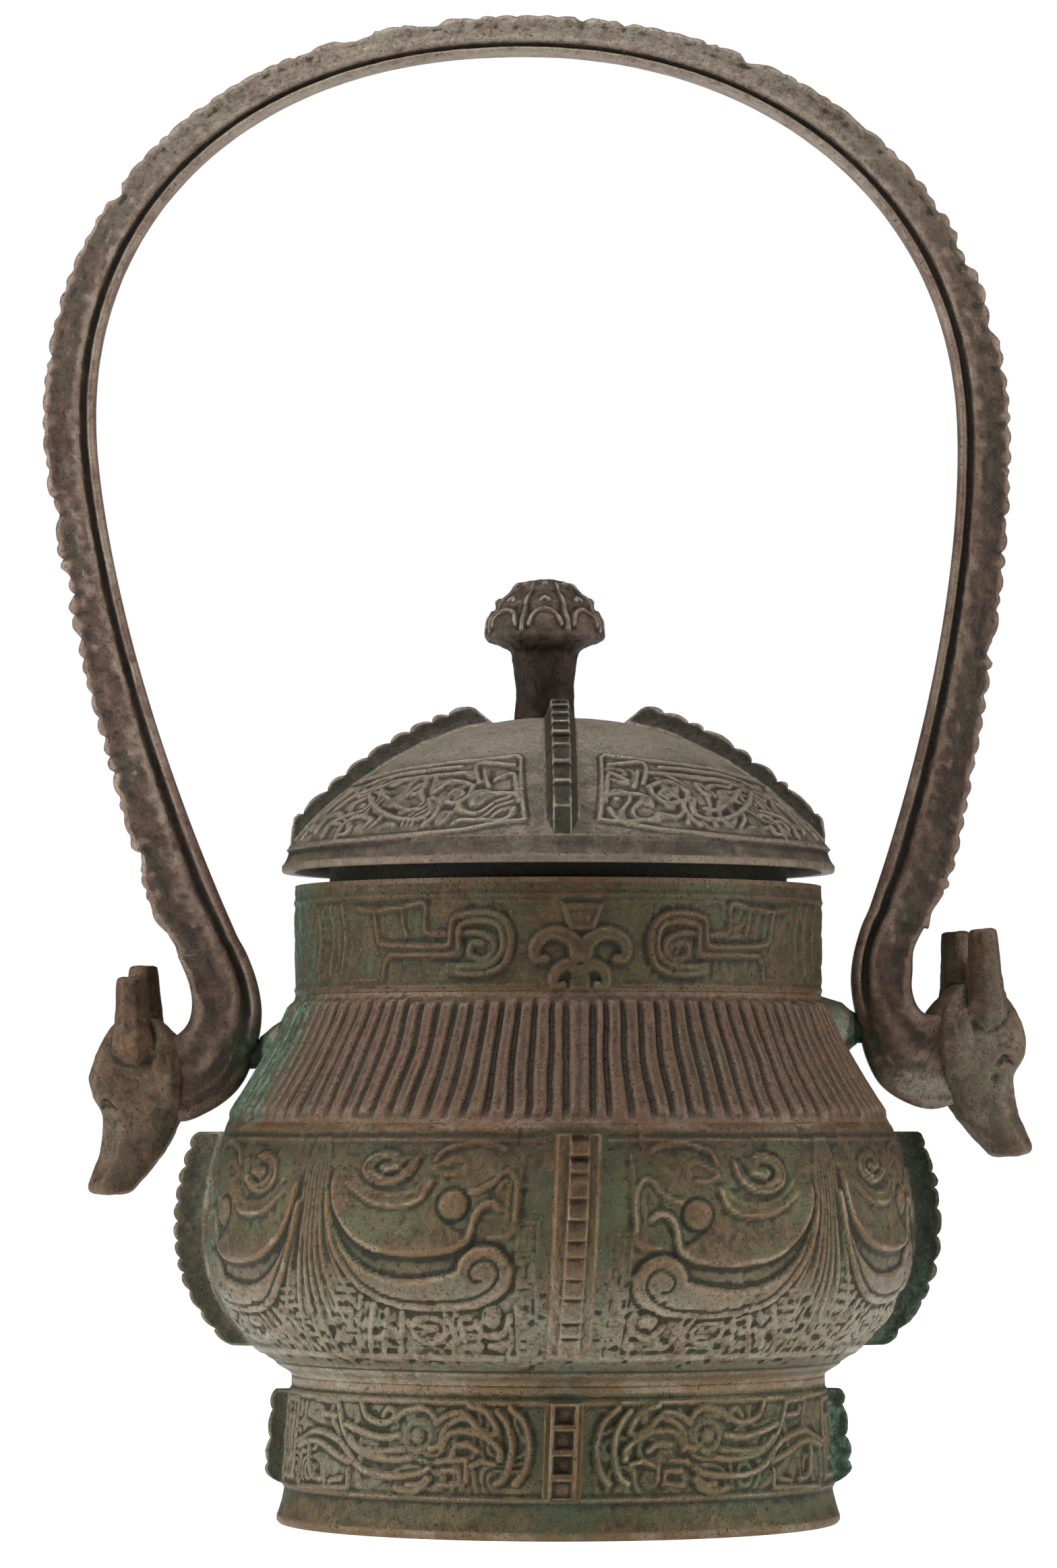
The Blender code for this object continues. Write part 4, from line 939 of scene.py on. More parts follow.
# The ring foot.
# One long-tailed dragon in low lines on each quarter, its head by the front or back flange, above a plain
# foot edge that flares out. The bowl's floor closes the foot from above.
FOOT_RADIUS = 67.3
FOOT_EDGE_HEIGHT = 1.6
FOOT_BAND_RADIUS = 65.5
FOOT_BAND_LOW = 9.2
FOOT_BAND_HIGH = 32.5
FOOT_MM_PER_DEGREE = 1.13
DRAGON_EYE = (30.9, 23.5)
DRAGON_LINES = [
    [(36.6, 27.2), (34.9, 28.7), (31.5, 29.8), (28.6, 29.3), (27.3, 27.9)],
    [(27.7, 20.6), (25.7, 21.5), (25.1, 24.3), (23.2, 26.8), (20.2, 27.9), (18.2, 26.1)],
    [(26.8, 26.7), (24.1, 28.4), (21, 29), (18.6, 26.9)],
    [(25.3, 20.7), (23.9, 23.9), (21.6, 24.8), (17.8, 24.5), (14.4, 22.5), (12.8, 20.6), (12.7, 18.5)],
    [(19.6, 30.5), (16.5, 29.7), (14.6, 27.4), (13.7, 24.6), (15.2, 24.1), (17.8, 25.7)],
    [(13.6, 29.4), (11.6, 26.6), (10.4, 22.6), (10.5, 17.8), (11.8, 14.2), (13.2, 12.9)],
    [(11, 30.2), (8, 27), (6.7, 21.8), (7.2, 16.6), (9.2, 13)],
    [(22.2, 21.6), (19.5, 21.8), (17.6, 20.5)],
    [(54.2, 30.5), (52.5, 26.5), (50.4, 22.9), (47.4, 20.2), (42.1, 18.4), (36, 17.9), (32.5, 18.4)],
    [(49.6, 19.7), (46.5, 16.2), (41.8, 14.4), (35.7, 14.1), (29.8, 14.9), (27.8, 16.2)],
    [(49.2, 22.6), (45.7, 19.9), (39.8, 19.6), (34.3, 20.2)],
    [(50.6, 25.4), (46.1, 24), (40, 22.8), (35.4, 23.4)],
    [(46.6, 30.9), (44.8, 27.7), (41.2, 26.2), (37.9, 26.7), (36.7, 28.4), (38.6, 29.5), (39.9, 27.9)],
    [(71.4, 20.3), (67.1, 21.6), (62.8, 23.1), (58.1, 23.1), (52, 21.2), (48.3, 17.7)],
    [(70, 19.3), (64.2, 20.9), (59.3, 20.6), (54.3, 18.6), (48.8, 16.9)],
    [(64.1, 19.7), (63.7, 16.8), (62.4, 13.2), (58.4, 12.2)],
    [(35.5, 11.4), (32, 10.6), (29.2, 11.7), (27.7, 13.8)],
    [(32.6, 12.2), (29.6, 12.5), (28.1, 14.1)],
]
DRAGON_SQUARES = [
    [(25.9, 17.8), (19.7, 18.4), (19.5, 13.6)],
    [(24.6, 15.7), (21.1, 15.8), (21, 12.8), (25.2, 12.4)],
    [(18.9, 16.8), (16.4, 18.1), (13.8, 17.3)],
    [(68.7, 11.1), (68.5, 9.9), (48.8, 10.8), (49.1, 14.8)],
    [(54.9, 12), (51.3, 12.7)],
    [(60.3, 29), (59.3, 27.4), (54.5, 27.2)],
    [(62.9, 30.9), (54.8, 30.5)],
    [(84, 30), (73, 30), (73, 12), (84, 12)],
    [(81, 26), (76, 26), (76, 16), (81, 16)],
]


def foot_radius(height):
    share = (height - FOOT_BAND_LOW) / (WAIST_HEIGHT - 2.7 - FOOT_BAND_LOW)
    return FOOT_BAND_RADIUS + (WAIST_RADIUS - FOOT_BAND_RADIUS) * share


def lay_foot(degrees, height):
    return degrees * FOOT_MM_PER_DEGREE, height


def carve_foot(turn, radius, height):
    outer = radius > FOOT_BAND_RADIUS - 2.2
    degrees, _ = field(turn, height, 180)
    r = Relief(degrees, height, lay_foot)
    r.bar([(34.0, 21.0), (30.0, 24.0), (25.0, 24.0)], 8.0, 0.35, edge=2.0)
    r.bars(DRAGON_LINES, 1.5, 1.0, edge=0.9)
    r.bars(DRAGON_SQUARES, 1.2, 0.85, edge=0.7, straight=True)
    r.bar(oval(DRAGON_EYE, 3.1, 3.5, 12, closed=True), 0.9, 0.6, edge=0.6)
    r.boss(DRAGON_EYE, 1.8, 0.8, ring=0.2)
    r.bar([(0.0, 31.4), (90.0, 31.4)], 1.2, 0.7, straight=True)
    r.bar([(0.0, 9.3), (90.0, 9.3)], 1.1, 0.6, straight=True)
    x, y = spot(turn, radius)
    ground = soft(height - 10.5) * soft(30.5 - height) * soft(degrees - 6)
    r.fill(0.4 * ground, x, y, height, 7.0, 16)
    worn = 0.80 + lumps(x, y, height, (0.28, 6, 13))
    rough = lumps(x, y, height, (0.10, 7, 14), (0.10, 1.5, 15))
    fade = soft(height) * soft((WAIST_HEIGHT - height) / 0.8)
    return np.where(outer, (r.lift * worn + rough) * fade, 0)


def foot_edge_radius(height):
    share = (height - FOOT_EDGE_HEIGHT) / (FOOT_BAND_LOW - FOOT_EDGE_HEIGHT)
    return FOOT_BAND_RADIUS + (FOOT_RADIUS - FOOT_BAND_RADIUS) * (1 - share) ** 1.6


foot_outline = [
    (FOOT_RADIUS - 0.5, 0),
    (FOOT_RADIUS, 0.6),
    *wall_rows(foot_edge_radius, FOOT_EDGE_HEIGHT, FOOT_BAND_LOW - 0.2, 13),
    *wall_rows(foot_radius, FOOT_BAND_LOW + 0.2, FOOT_BAND_HIGH, 44),
    *[(WAIST_RADIUS, level) for level in np.linspace(FOOT_BAND_HIGH + 0.6, WAIST_HEIGHT, 4)],
    (FLOOR_EDGE_RADIUS + 0.3, WAIST_HEIGHT + 0.3),
    (WAIST_RADIUS - WALL, WAIST_HEIGHT - WALL),
    (FOOT_BAND_RADIUS - WALL, FOOT_BAND_LOW),
    (FOOT_RADIUS - WALL, 0),
]
foot = add_ring("foot", foot_outline, carve_foot, sharp_rows=(0, len(foot_outline) - 1))
mark_stand_out(foot)
stain(foot, "verdigris", lambda degrees, radius, height: (
    (0.25 + 0.45 * soft((np.abs(degrees) - 40) / 30)) * beside_flanges(degrees, height)
))
# Pale crust mixed with painted light on the left of the foot.
stain(foot, "crust_and_painted_light", lambda degrees, radius, height: (
    0.45 * soft((-degrees - 10) / 50) * soft((height - 8) / 4)
))
foot_bronze = bronze(
    "foot_bronze", skin=(0.12, 0.083, 0.04), ridge=(0.21, 0.132, 0.068), hollow=(0.016, 0.012, 0.006),
    green=(0.104, 0.122, 0.056), green_amount=0.7, dust=(0.11, 0.087, 0.041), dust_amount=0.8,
    worn_and_glint=0.4,
)
belongs(foot, foot_bronze)

bpy.ops.object.select_all(action="DESELECT")
bpy.ops.mesh.primitive_cylinder_add(
    vertices=120, radius=(FLOOR_EDGE_RADIUS + 0.6) * MM, depth=(WALL - 0.2) * MM,
    location=(AXIS_X, 0, (FLOOR_HEIGHT - WALL / 2) * MM), calc_uvs=False,
)
bpy.ops.object.transform_apply()
bowl_floor = bpy.context.object
bowl_floor.name = "bowl_floor"
belongs(bowl_floor, foot_bronze)


# The flanges of the belly and the foot.
# Upright fins with rounded feet on the four quarters, cut into steps like a ladder, into scallops or into
# sunken squares. Those on the right are chipped and crusted.
FLANGE_FOOT_HALF = 5.4
FLANGE_CREST_HALF = 2.35
FOOT_FLANGE_FOOT_HALF = 4.6
FOOT_FLANGE_CREST_HALF = 3.2
FOOT_FLANGE_RADIUS = 70.2
FOOT_FLANGE_BEND = 13.4
FOOT_FLANGE_LEAN = 0.1
FOOT_FLANGE_FALL = 4.2
FOOT_FLANGE_ROWS = 64
BELLY_FLANGE_RADIUS = 91.8
BELLY_FLANGE_LOW = 42.0
BELLY_FLANGE_HIGH = 93.0
BELLY_FLANGE_FALL_LOW = 0.62
BELLY_FLANGE_FALL_HIGH = 0.38
BELLY_FLANGE_ROWS = 150
FLANGE_ROOT = 0.3
NOTCH_START = 0.4
FLANK_STEPS = 9
CREST_STEPS = 10


def uneven_cuts(length, turns, jitter, dice):
    """The ends of teeth of about the same length, one after the other."""
    cuts = np.linspace(0, length, turns + 1)
    cuts[1:-1] += dice.uniform(-jitter, jitter, turns - 1)
    return cuts


def tooth_at(t, cuts):
    """The number of the tooth at each place, and the share of the way over it."""
    i = np.clip(np.searchsorted(cuts, t, side="right") - 1, 0, len(cuts) - 2)
    return i, np.clip((t - cuts[i]) / (cuts[i + 1] - cuts[i]), 0, 1)


def steps_down(turns, depth, jitter, seed):
    """A ladder of steps. Each starts at its lower rim and slopes back up to the foot of the next."""
    dice = np.random.default_rng(seed)
    cuts = uneven_cuts(1, turns, jitter / turns, dice)
    deep = depth * dice.uniform(0.7, 1.2, turns)

    def notch(t, across):
        i, share = tooth_at(t, cuts)
        return deep[i] * (soft(share / 0.95) ** 0.8 * soft((1 - share) / 0.10) + 0.25 * soft(0.08 - share))
    return notch


def scallops(turns, depth, jitter, seed):
    """Rounded teeth with a sharp notch between neighbours."""
    dice = np.random.default_rng(seed)
    cuts = uneven_cuts(1, turns, jitter / turns, dice)
    deep = depth * dice.uniform(1 - jitter, 1 + jitter, turns)

    def notch(t, across):
        i, share = tooth_at(t, cuts)
        return deep[i] * (1 - np.sin(math.pi * share) ** 0.55)
    return notch


def cells(turns, depth):
    """Sunken squares with a frame, one over the other."""

    def notch(t, across):
        share = (t * turns) % 1
        inside = soft((share - 0.12) / 0.10) * soft((0.90 - share) / 0.06)
        return depth * inside * soft((0.78 - np.abs(across)) / 0.14)
    return notch


def tube(name, rings, sharp_ends=False):
    """A closed skin over rings of points in millimetres, with a point in the middle of both ends."""
    rings = np.array(rings)
    rows, columns = rings.shape[:2]
    piece, column, row = wrapped_grid(name, columns, rows + 1)
    first, last = [np.broadcast_to(rings[end].mean(0), (1, columns, 3)) for end in (0, -1)]
    points = np.concatenate([first, rings, last])[row, column % columns]
    sharp = np.where((row == 1) | (row == rows), row, -1) if sharp_ends else None
    return close_up(piece, points, sharp)


def add_flange(name, quarter, feet, edges, foot_half, crest_half, notch, rough, seed, turn_at):
    """A fin from lines of foot and edge points (radius, height)."""
    t = np.linspace(0, 1, len(feet))
    flank = np.linspace(0, 1, FLANK_STEPS)
    across = np.linspace(-1, 1, CREST_STEPS + 1)
    up = np.concatenate([[-0.12], flank, np.ones(CREST_STEPS - 1), flank[::-1], [-0.12]])
    side = np.concatenate([[-0.9], -1 + 0 * flank, across[1:-1], 1 + 0 * flank, [0.9]])
    half = crest_half + (foot_half - crest_half) * np.clip(1 - up, 0, 1) ** 2.0
    half = np.where(up > 0.93, half - 0.25 * (up - 0.93) / 0.07 * (np.abs(side) == 1), half)
    tt, uu = np.meshgrid(t, up, indexing="ij")
    cut = notch(tt, side[None, :] + 0 * tt)
    reach = np.linalg.norm(edges - feet, axis=1)[:, None]
    share = uu - np.where(uu > NOTCH_START, cut * (uu - NOTCH_START) / (1 - NOTCH_START) / reach, 0)
    base = feet[:, None, :] + (edges - feet)[:, None, :] * share[:, :, None]
    offset = side[None, :] * half[None, :] + 0 * tt
    angle = quarter + turn_at(base[:, :, 1])
    x = base[:, :, 0] * np.sin(angle) + offset * np.cos(angle)
    y = -base[:, :, 0] * np.cos(angle) + offset * np.sin(angle)
    z = base[:, :, 1]
    wobble = rough * lumps(x, y, z, (0.5, 1.4, seed), (1, 3.5, seed + 1)) * (uu > 0.05)
    out = np.where(uu > 0.95, 1.0, 0.35)
    x = x + wobble * out * np.sin(angle) + wobble * (1 - out) * np.sign(offset) * np.cos(angle)
    y = y - wobble * out * np.cos(angle) + wobble * (1 - out) * np.sign(offset) * np.sin(angle)
    fin = tube(name, np.stack([x + AXIS_X / MM, y, z], axis=-1), sharp_ends=True)
    mark_stand_out(fin)
    return fin


def twist_at(height):
    return np.radians(TWIST_PER_MM * height)


def belly_flange_lines():
    middle = BELLY_WIDEST_HEIGHT + WALL
    z = np.linspace(BELLY_FLANGE_LOW, BELLY_FLANGE_HIGH, BELLY_FLANGE_ROWS)
    down = np.maximum(middle - z, 0) / (middle - z[0])
    up = np.maximum(z - middle, 0) / (z[-1] - middle)
    below = (BELLY_FLANGE_RADIUS - BELLY_FOOT_RADIUS) * BELLY_FLANGE_FALL_LOW * down**2.4
    above = (BELLY_FLANGE_RADIUS - SHOULDER_RADIUS) * BELLY_FLANGE_FALL_HIGH * up**2
    feet = np.column_stack([belly_radius(z) - FLANGE_ROOT, z])
    return feet, np.column_stack([BELLY_FLANGE_RADIUS - below - above, z])


def foot_flange_lines():
    z = np.linspace(FOOT_BAND_LOW - 0.2, FOOT_BAND_HIGH - 1.0, FOOT_FLANGE_ROWS)
    feet = np.column_stack([foot_radius(z) - FLANGE_ROOT, z])
    over = z - FOOT_FLANGE_BEND
    fall = FOOT_FLANGE_FALL * np.clip(-over / (FOOT_FLANGE_BEND - z[0]), 0, 1) ** 2
    return feet, np.column_stack([FOOT_FLANGE_RADIUS - FOOT_FLANGE_LEAN * over - fall, z])


flange_bronze = bronze(
    "flange_bronze", skin=(0.092, 0.048, 0.018), ridge=(0.210, 0.128, 0.060), hollow=(0.014, 0.009, 0.004),
    green=(0.08, 0.082, 0.034), green_amount=0.5, dust=(0.11, 0.07, 0.034), dust_amount=0.7,
    worn_and_glint=0.3,
)
crusted_bronze = bronze(
    "crusted_bronze", skin=(0.018, 0.018, 0.011), ridge=(0.06, 0.056, 0.035), hollow=(0.008, 0.008, 0.005),
    green=(0.04, 0.062, 0.04), green_amount=0.7, dust=(0.034, 0.031, 0.017), dust_amount=0.8,
    worn_and_glint=0.2, gloss=0.15,
)
side_bronze = bronze(
    "side_bronze", skin=(0.05, 0.041, 0.022), ridge=(0.13, 0.11, 0.068), hollow=(0.016, 0.013, 0.008),
    green=(0.058, 0.076, 0.042), green_amount=0.6, dust=(0.068, 0.058, 0.03), dust_amount=0.8,
)
FLANGE_KINDS = [
    ("front", 0, steps_down(11, 1.25, 0.16, 31), cells(4, 0.9), 0.16, flange_bronze),
    ("right", 90, scallops(10, 1.3, 0.42, 32), scallops(4, 1.2, 0.4, 33), 0.38, crusted_bronze),
    ("back", 180, scallops(12, 1.1, 0.15, 34), cells(4, 0.9), 0.16, flange_bronze),
    ("left", 270, scallops(12, 1.3, 0.12, 35), scallops(4, 1.0, 0.2, 36), 0.18, side_bronze),
]
for number, (label, quarter, belly_notch, foot_notch, rough, metal) in enumerate(FLANGE_KINDS):
    belly_fin = add_flange(
        f"belly_flange_{label}", math.radians(quarter), *belly_flange_lines(),
        FLANGE_FOOT_HALF, FLANGE_CREST_HALF, belly_notch, rough, 40 + number, twist_at,
    )
    if metal is flange_bronze:
        # Pale crust mixed with painted light towards the bottom of the flange.
        stain(belly_fin, "crust_and_painted_light", lambda degrees, radius, height: 0.52 * soft((72 - height) / 25))
        # Painted shade towards the top of the flange.
        stain(belly_fin, "painted_shade", lambda degrees, radius, height: 0.35 * soft((height - 74) / 12))
    if metal is crusted_bronze:
        stain(belly_fin, "verdigris", lambda degrees, radius, height: 0.5 * soft((62 - height) / 10))
    belongs(belly_fin, metal)
    foot_fin = add_flange(
        f"foot_flange_{label}", math.radians(quarter), *foot_flange_lines(),
        FOOT_FLANGE_FOOT_HALF, FOOT_FLANGE_CREST_HALF, foot_notch, rough, 50 + number, twist_at,
    )
    if metal is crusted_bronze:
        stain(foot_fin, "verdigris", lambda degrees, radius, height: 0.9 + 0 * height)
    belongs(foot_fin, metal)


# The lid.
# A domed shell with a thin rim, a plain brim that curves in, a frieze with one long-tailed bird in thin lines
# on each quarter, and a smooth top.
LID_RADIUS = 66.0
LID_RIM_HEIGHT = 154.8
LID_SKIRT_RADIUS = 64.2
LID_TOP = 191.7
LID_FALL = 30.7
LID_ROUNDNESS = 2.3
LID_TURN = 0.6
LID_MM_PER_DEGREE = 0.97
LID_HOLE = 1.5


def lid_height(radius, inset=0.0):
    return LID_TOP - inset - LID_FALL * (radius / (LID_SKIRT_RADIUS - inset)) ** LID_ROUNDNESS


def way_along(x, z):
    """How far each point of a line is from its start, along the line."""
    return np.concatenate([[0], np.cumsum(np.hypot(np.diff(x), np.diff(z)))])


def even_dome(outer, inner, count):
    """Points up the dome at even distances."""
    r = np.linspace(outer, inner, 400)
    way = way_along(r, lid_height(r))
    return [(radius, lid_height(radius)) for radius in np.interp(np.linspace(0, way[-1], count), way, r)]


dome_r = np.linspace(LID_SKIRT_RADIUS, LID_HOLE, 400)
dome_z = lid_height(dome_r)
dome_way = way_along(dome_r, dome_z)


def lay_lid(degrees, height):
    up = np.interp(height, dome_z, dome_way) + np.minimum(height - dome_z[0], 0)
    return degrees * LID_MM_PER_DEGREE, up


BIRD_LINES = [
    [(21.6, 173.5), (25.3, 178.5), (13.8, 177.9)],
    [(21.9, 176.6), (19.8, 173.9), (18.6, 172.6)],
    [(17.5, 174.3), (13, 175.6), (10.6, 170.2)],
    [(21, 168.2), (20.8, 169.9), (18.4, 170.8), (11.6, 170.7), (9.9, 168.9)],
    [(18, 164.6), (14.7, 164.2), (11.7, 165), (10.8, 167.2)],
    [(33.2, 171.5), (30.2, 173.9), (25.7, 173.6), (22.6, 172.6)],
    [(30, 169.3), (25.3, 168.7), (22.9, 170.4), (22.9, 172.2)],
    [(28.3, 170.5), (27.1, 171.8), (24.6, 170.9), (25.8, 169.6)],
    [(32.6, 170.2), (29.7, 168.8), (29.3, 165.7), (30.9, 163.6)],
    [(33.4, 169.8), (31, 167.1), (32.4, 165.4), (35.5, 165.1), (40, 165.6), (46.4, 167.6), (53, 170.1),
     (57.3, 172.4), (54.7, 173.6)],
    [(35, 167.6), (38, 167.4), (43, 169), (49, 171.2), (53, 172.6)],
    [(41, 170.9), (39.9, 172.6), (38, 173.7), (37.7, 171.7), (39.4, 171.1)],
    [(60.9, 161.7), (61.9, 164.4), (59.6, 166.4), (53.5, 167.5)],
    [(54.6, 161.4), (55.9, 164.1), (53.8, 166.2), (51.5, 166.5)],
    [(54.4, 161.9), (52.2, 162.2), (52.3, 163.9)],
    [(53.8, 173.6), (49.6, 174.8), (39.6, 175.5), (24.9, 176.2)],
    [(60.9, 174.6), (52, 176.3), (40, 177.2), (30, 177.6)],
    [(66.4, 163), (67.4, 167), (64.8, 171), (60.5, 172.6)],
    [(73, 162), (74, 168), (71, 173)], [(79, 162), (80, 168), (78, 174)],
]
LID_BORDERS = [
    [(90, 175), (69, 176), (51.1, 177.9), (25.9, 179.4), (13.9, 180.4), (12.4, 179.7), (8, 164.5)],
    [(90, 159.8), (70, 160.2), (47.6, 160.6), (35.7, 161.2), (21, 162.3), (11.9, 164.1), (8, 164.5)],
]


def carve_lid(turn, radius, height):
    outer = height > lid_height(np.minimum(radius, LID_SKIRT_RADIUS)) - 1.2
    degrees, _ = field(turn - math.radians(LID_TURN) + twist_at(height), height, 180)
    r = Relief(degrees, height, lay_lid)
    r.bars(LID_BORDERS, 1.1, 0.8, edge=0.7, straight=True)
    r.bars(BIRD_LINES, 1.25, 0.85, edge=0.75)
    r.boss((26.4, 170.7), 1.5, 0.5)
    x, y = spot(turn, radius)
    ground = soft(height - 163) * soft(178.5 - 0.05 * degrees - height) * soft((degrees - 10.5) / 1.5)
    r.fill(0.6 * ground, x, y, height, 6.5, 66)
    worn = 0.85 + lumps(x, y, height, (0.15, 8, 63))
    rough = lumps(x, y, height, (0.14, 8, 64), (0.04, 1.5, 65))
    fade = soft((height - LID_RIM_HEIGHT) / 3)
    return np.where(outer, (r.lift * worn + rough) * fade, 0)


LID_FRIEZE_ROWS = 66
lid_outline = [
    (LID_RADIUS - 0.2, LID_RIM_HEIGHT),
    (LID_RADIUS, LID_RIM_HEIGHT + 0.5),
    (LID_RADIUS, LID_RIM_HEIGHT + 1.5),
    (LID_RADIUS - 0.35, LID_RIM_HEIGHT + 1.9),
    *wall_rows(lambda h: LID_SKIRT_RADIUS + 1.2 * (1 - (h - 157.0) / 4.0) ** 2, 157.2, 160.6, 7),
    *even_dome(LID_SKIRT_RADIUS, 38.0, LID_FRIEZE_ROWS),
    *even_dome(36.5, LID_HOLE, 13),
    *[(r, lid_height(r, WALL)) for r in (LID_HOLE, 20.0, 36.0, 48.0, 56.0, 61.2)],
    (LID_RADIUS - WALL, LID_RIM_HEIGHT),
]
lid = add_ring("lid_shell", lid_outline, carve_lid, sharp_rows=(0, len(lid_outline) - 1), untwisted=True)
mark_stand_out(lid)
# Painted shade on the brim and beside the flanges of the lid.
stain(lid, "painted_shade", lambda degrees, radius, height: np.maximum(
    0.6 * soft((163 - height) / 2.5), 0.4 * beside_flanges(degrees, 0) * soft((188 - height) / 6)
))
# Pale crust mixed with painted light on the top of the lid.
stain(lid, "crust_and_painted_light", lambda degrees, radius, height: 0.5 * soft((height - 178) / 4))
lid_bronze = bronze(
    "lid_bronze", skin=(0.164, 0.128, 0.097), ridge=(0.3, 0.245, 0.19), hollow=(0.024, 0.018, 0.012),
    green=(0.112, 0.114, 0.076), green_amount=0.5, dust=(0.196, 0.168, 0.128), dust_amount=0.7,
    worn_and_glint=0.5,
)
belongs(lid, lid_bronze, node="lid")


# The flanges of the lid.
# Low fins that run down the dome from near the knob to the rim, notched along the top and plain at the outer
# end, where they drop down to the rim.
LID_FLANGE_RISE = 5.7
LID_FLANGE_TIP = 21.0
LID_FLANGE_FOOT_TIP = 15.12
LID_FLANGE_FOOT = (62.6, 156.4)
LID_FLANGE_FOOT_CORNER = 59.6
LID_FLANGE_EDGE = (64.5, 156.8)
LID_FLANGE_EDGE_CORNER = 63.2
LID_FLANGE_ROOT = 0.5
LID_FLANGE_ROWS = 140
LID_FLANGE_FOOT_HALF = 4.3
LID_FLANGE_CREST_HALF = 2.15


def drop_and_run(start, corner, tip, rise):
    """A line that climbs from the rim to a corner over the dome and follows the dome up from there."""
    end_rows = LID_FLANGE_ROWS // 6
    climb = np.linspace(0, 1, end_rows, endpoint=False)
    run = np.linspace(corner, tip, LID_FLANGE_ROWS - end_rows)
    radius = np.concatenate([start[0] - (start[0] - corner) * climb, run])
    height = [start[1] + (lid_height(corner) + rise - start[1]) * climb, lid_height(run) + rise]
    return np.column_stack([radius, np.concatenate(height)])


def lid_flange_lines():
    feet = drop_and_run(LID_FLANGE_FOOT, LID_FLANGE_FOOT_CORNER, LID_FLANGE_FOOT_TIP, -LID_FLANGE_ROOT)
    return feet, drop_and_run(LID_FLANGE_EDGE, LID_FLANGE_EDGE_CORNER, LID_FLANGE_TIP, LID_FLANGE_RISE)


def lid_turn_at(height):
    return math.radians(LID_TURN) + 0 * height


def after_end(notch, end=0.19):
    """Keeps the outer end of a lid flange plain."""

    def cut(t, across):
        return np.where(t < end, 0, notch(np.clip((t - end) / (1 - end), 0, 1), across))
    return cut


lid_flange_bronze = bronze(
    "lid_flange_bronze", skin=(0.04, 0.028, 0.018), ridge=(0.24, 0.195, 0.155), hollow=(0.01, 0.008, 0.005),
    green=(0.03, 0.036, 0.018), green_amount=0.5, dust=(0.044, 0.036, 0.022), dust_amount=0.8,
)
LID_FLANGE_KINDS = [
    ("front", 0, steps_down(8, 1.3, 0.14, 71), 0.14),
    ("right", 90, scallops(8, 1.3, 0.35, 72), 0.25),
    ("back", 180, scallops(8, 1.1, 0.15, 73), 0.14),
    ("left", 270, scallops(8, 1.3, 0.2, 74), 0.2),
]
for number, (label, quarter, notch, rough) in enumerate(LID_FLANGE_KINDS):
    lid_fin = add_flange(
        f"lid_flange_{label}", math.radians(quarter), *lid_flange_lines(),
        LID_FLANGE_FOOT_HALF, LID_FLANGE_CREST_HALF, after_end(notch), rough, 60 + number, lid_turn_at,
    )
    belongs(lid_fin, lid_flange_bronze, node="lid")


# The knob.
# A mushroom cap with eight gabled petals over a waisted stem, cast on a little left of the lid's centre.
KNOB_OFFSET = -3.2
KNOB_STEM = 6.9
KNOB_CAP_LOW = 209.4
KNOB_TOP = 225.0
PETALS = 8
PETAL_HALF = 22.5
KNOB_COLUMNS = 240


def lay_knob(degrees, height):
    return degrees * 0.22, height


def carve_knob(turn, radius, height):
    degrees, _ = field(turn, 0 * height, 360 / PETALS)
    cap = soft((height - KNOB_CAP_LOW - 1.8) / 1.2)
    r = Relief(degrees, height, lay_knob)
    r.bar([(0.0, 217.0), (7.0, 216.6), (13.0, 215.4), (16.0, 213.4)], 1.0, 0.7, edge=0.6)
    r.bar([(0.0, 219.9), (4.5, 219.4)], 0.9, 0.6, edge=0.6)
    r.bar([(0.0, 223.5), (4.0, 223.4)], 0.9, 0.5, edge=0.6)
    r.bar([(PETAL_HALF, 223.0), (PETAL_HALF, 211.5)], 1.2, 0.8, edge=0.7, straight=True)
    facet = -0.5 * (degrees / PETAL_HALF) ** 2 * soft((height - KNOB_CAP_LOW) / 2) * (height < 222)
    x, y = spot(turn, radius)
    rough = lumps(x, y, height, (0.28, 2.5, 81), (0.12, 1.1, 82))
    return (r.lift + facet) * cap + rough


cap_profile = through([
    (11.6, 209.6), (13.5, 210.2), (14.25, 211.0), (14.3, 212.5), (14.0, 214.6), (13.1, 215.9), (12.1, 217.5),
    (11.5, 219.2), (9.15, 221.2), (6.2, 223.7), (2.8, 224.9), (0.9, KNOB_TOP),
])
stem_profile = through([
    (KNOB_STEM + 0.5, 189.0), (KNOB_STEM + 0.2, 193.0), (KNOB_STEM, 199.0), (7.4, 203.2), (7.8, 205.4),
    (8.5, 207.7), (11.6, 209.6),
])
knob_outline = [(0.9, 189.0), *stem_profile[:-1], *cap_profile]
knob = add_ring("knob", knob_outline, carve_knob, sharp_rows=(1,), columns=KNOB_COLUMNS, untwisted=True,
                shift=KNOB_OFFSET)
mark_stand_out(knob)
# Painted shade on the stem under the cap.
stain(knob, "painted_shade", lambda degrees, radius, height: soft((211 - height) / 3))
knob_bronze = bronze(
    "knob_bronze", skin=(0.094, 0.061, 0.045), ridge=(0.27, 0.205, 0.168), hollow=(0.018, 0.012, 0.008),
    green=(0.05, 0.048, 0.03), green_amount=0.4, dust=(0.084, 0.062, 0.045), dust_amount=0.7,
    gloss=0.25,
)
belongs(knob, knob_bronze, node="lid")


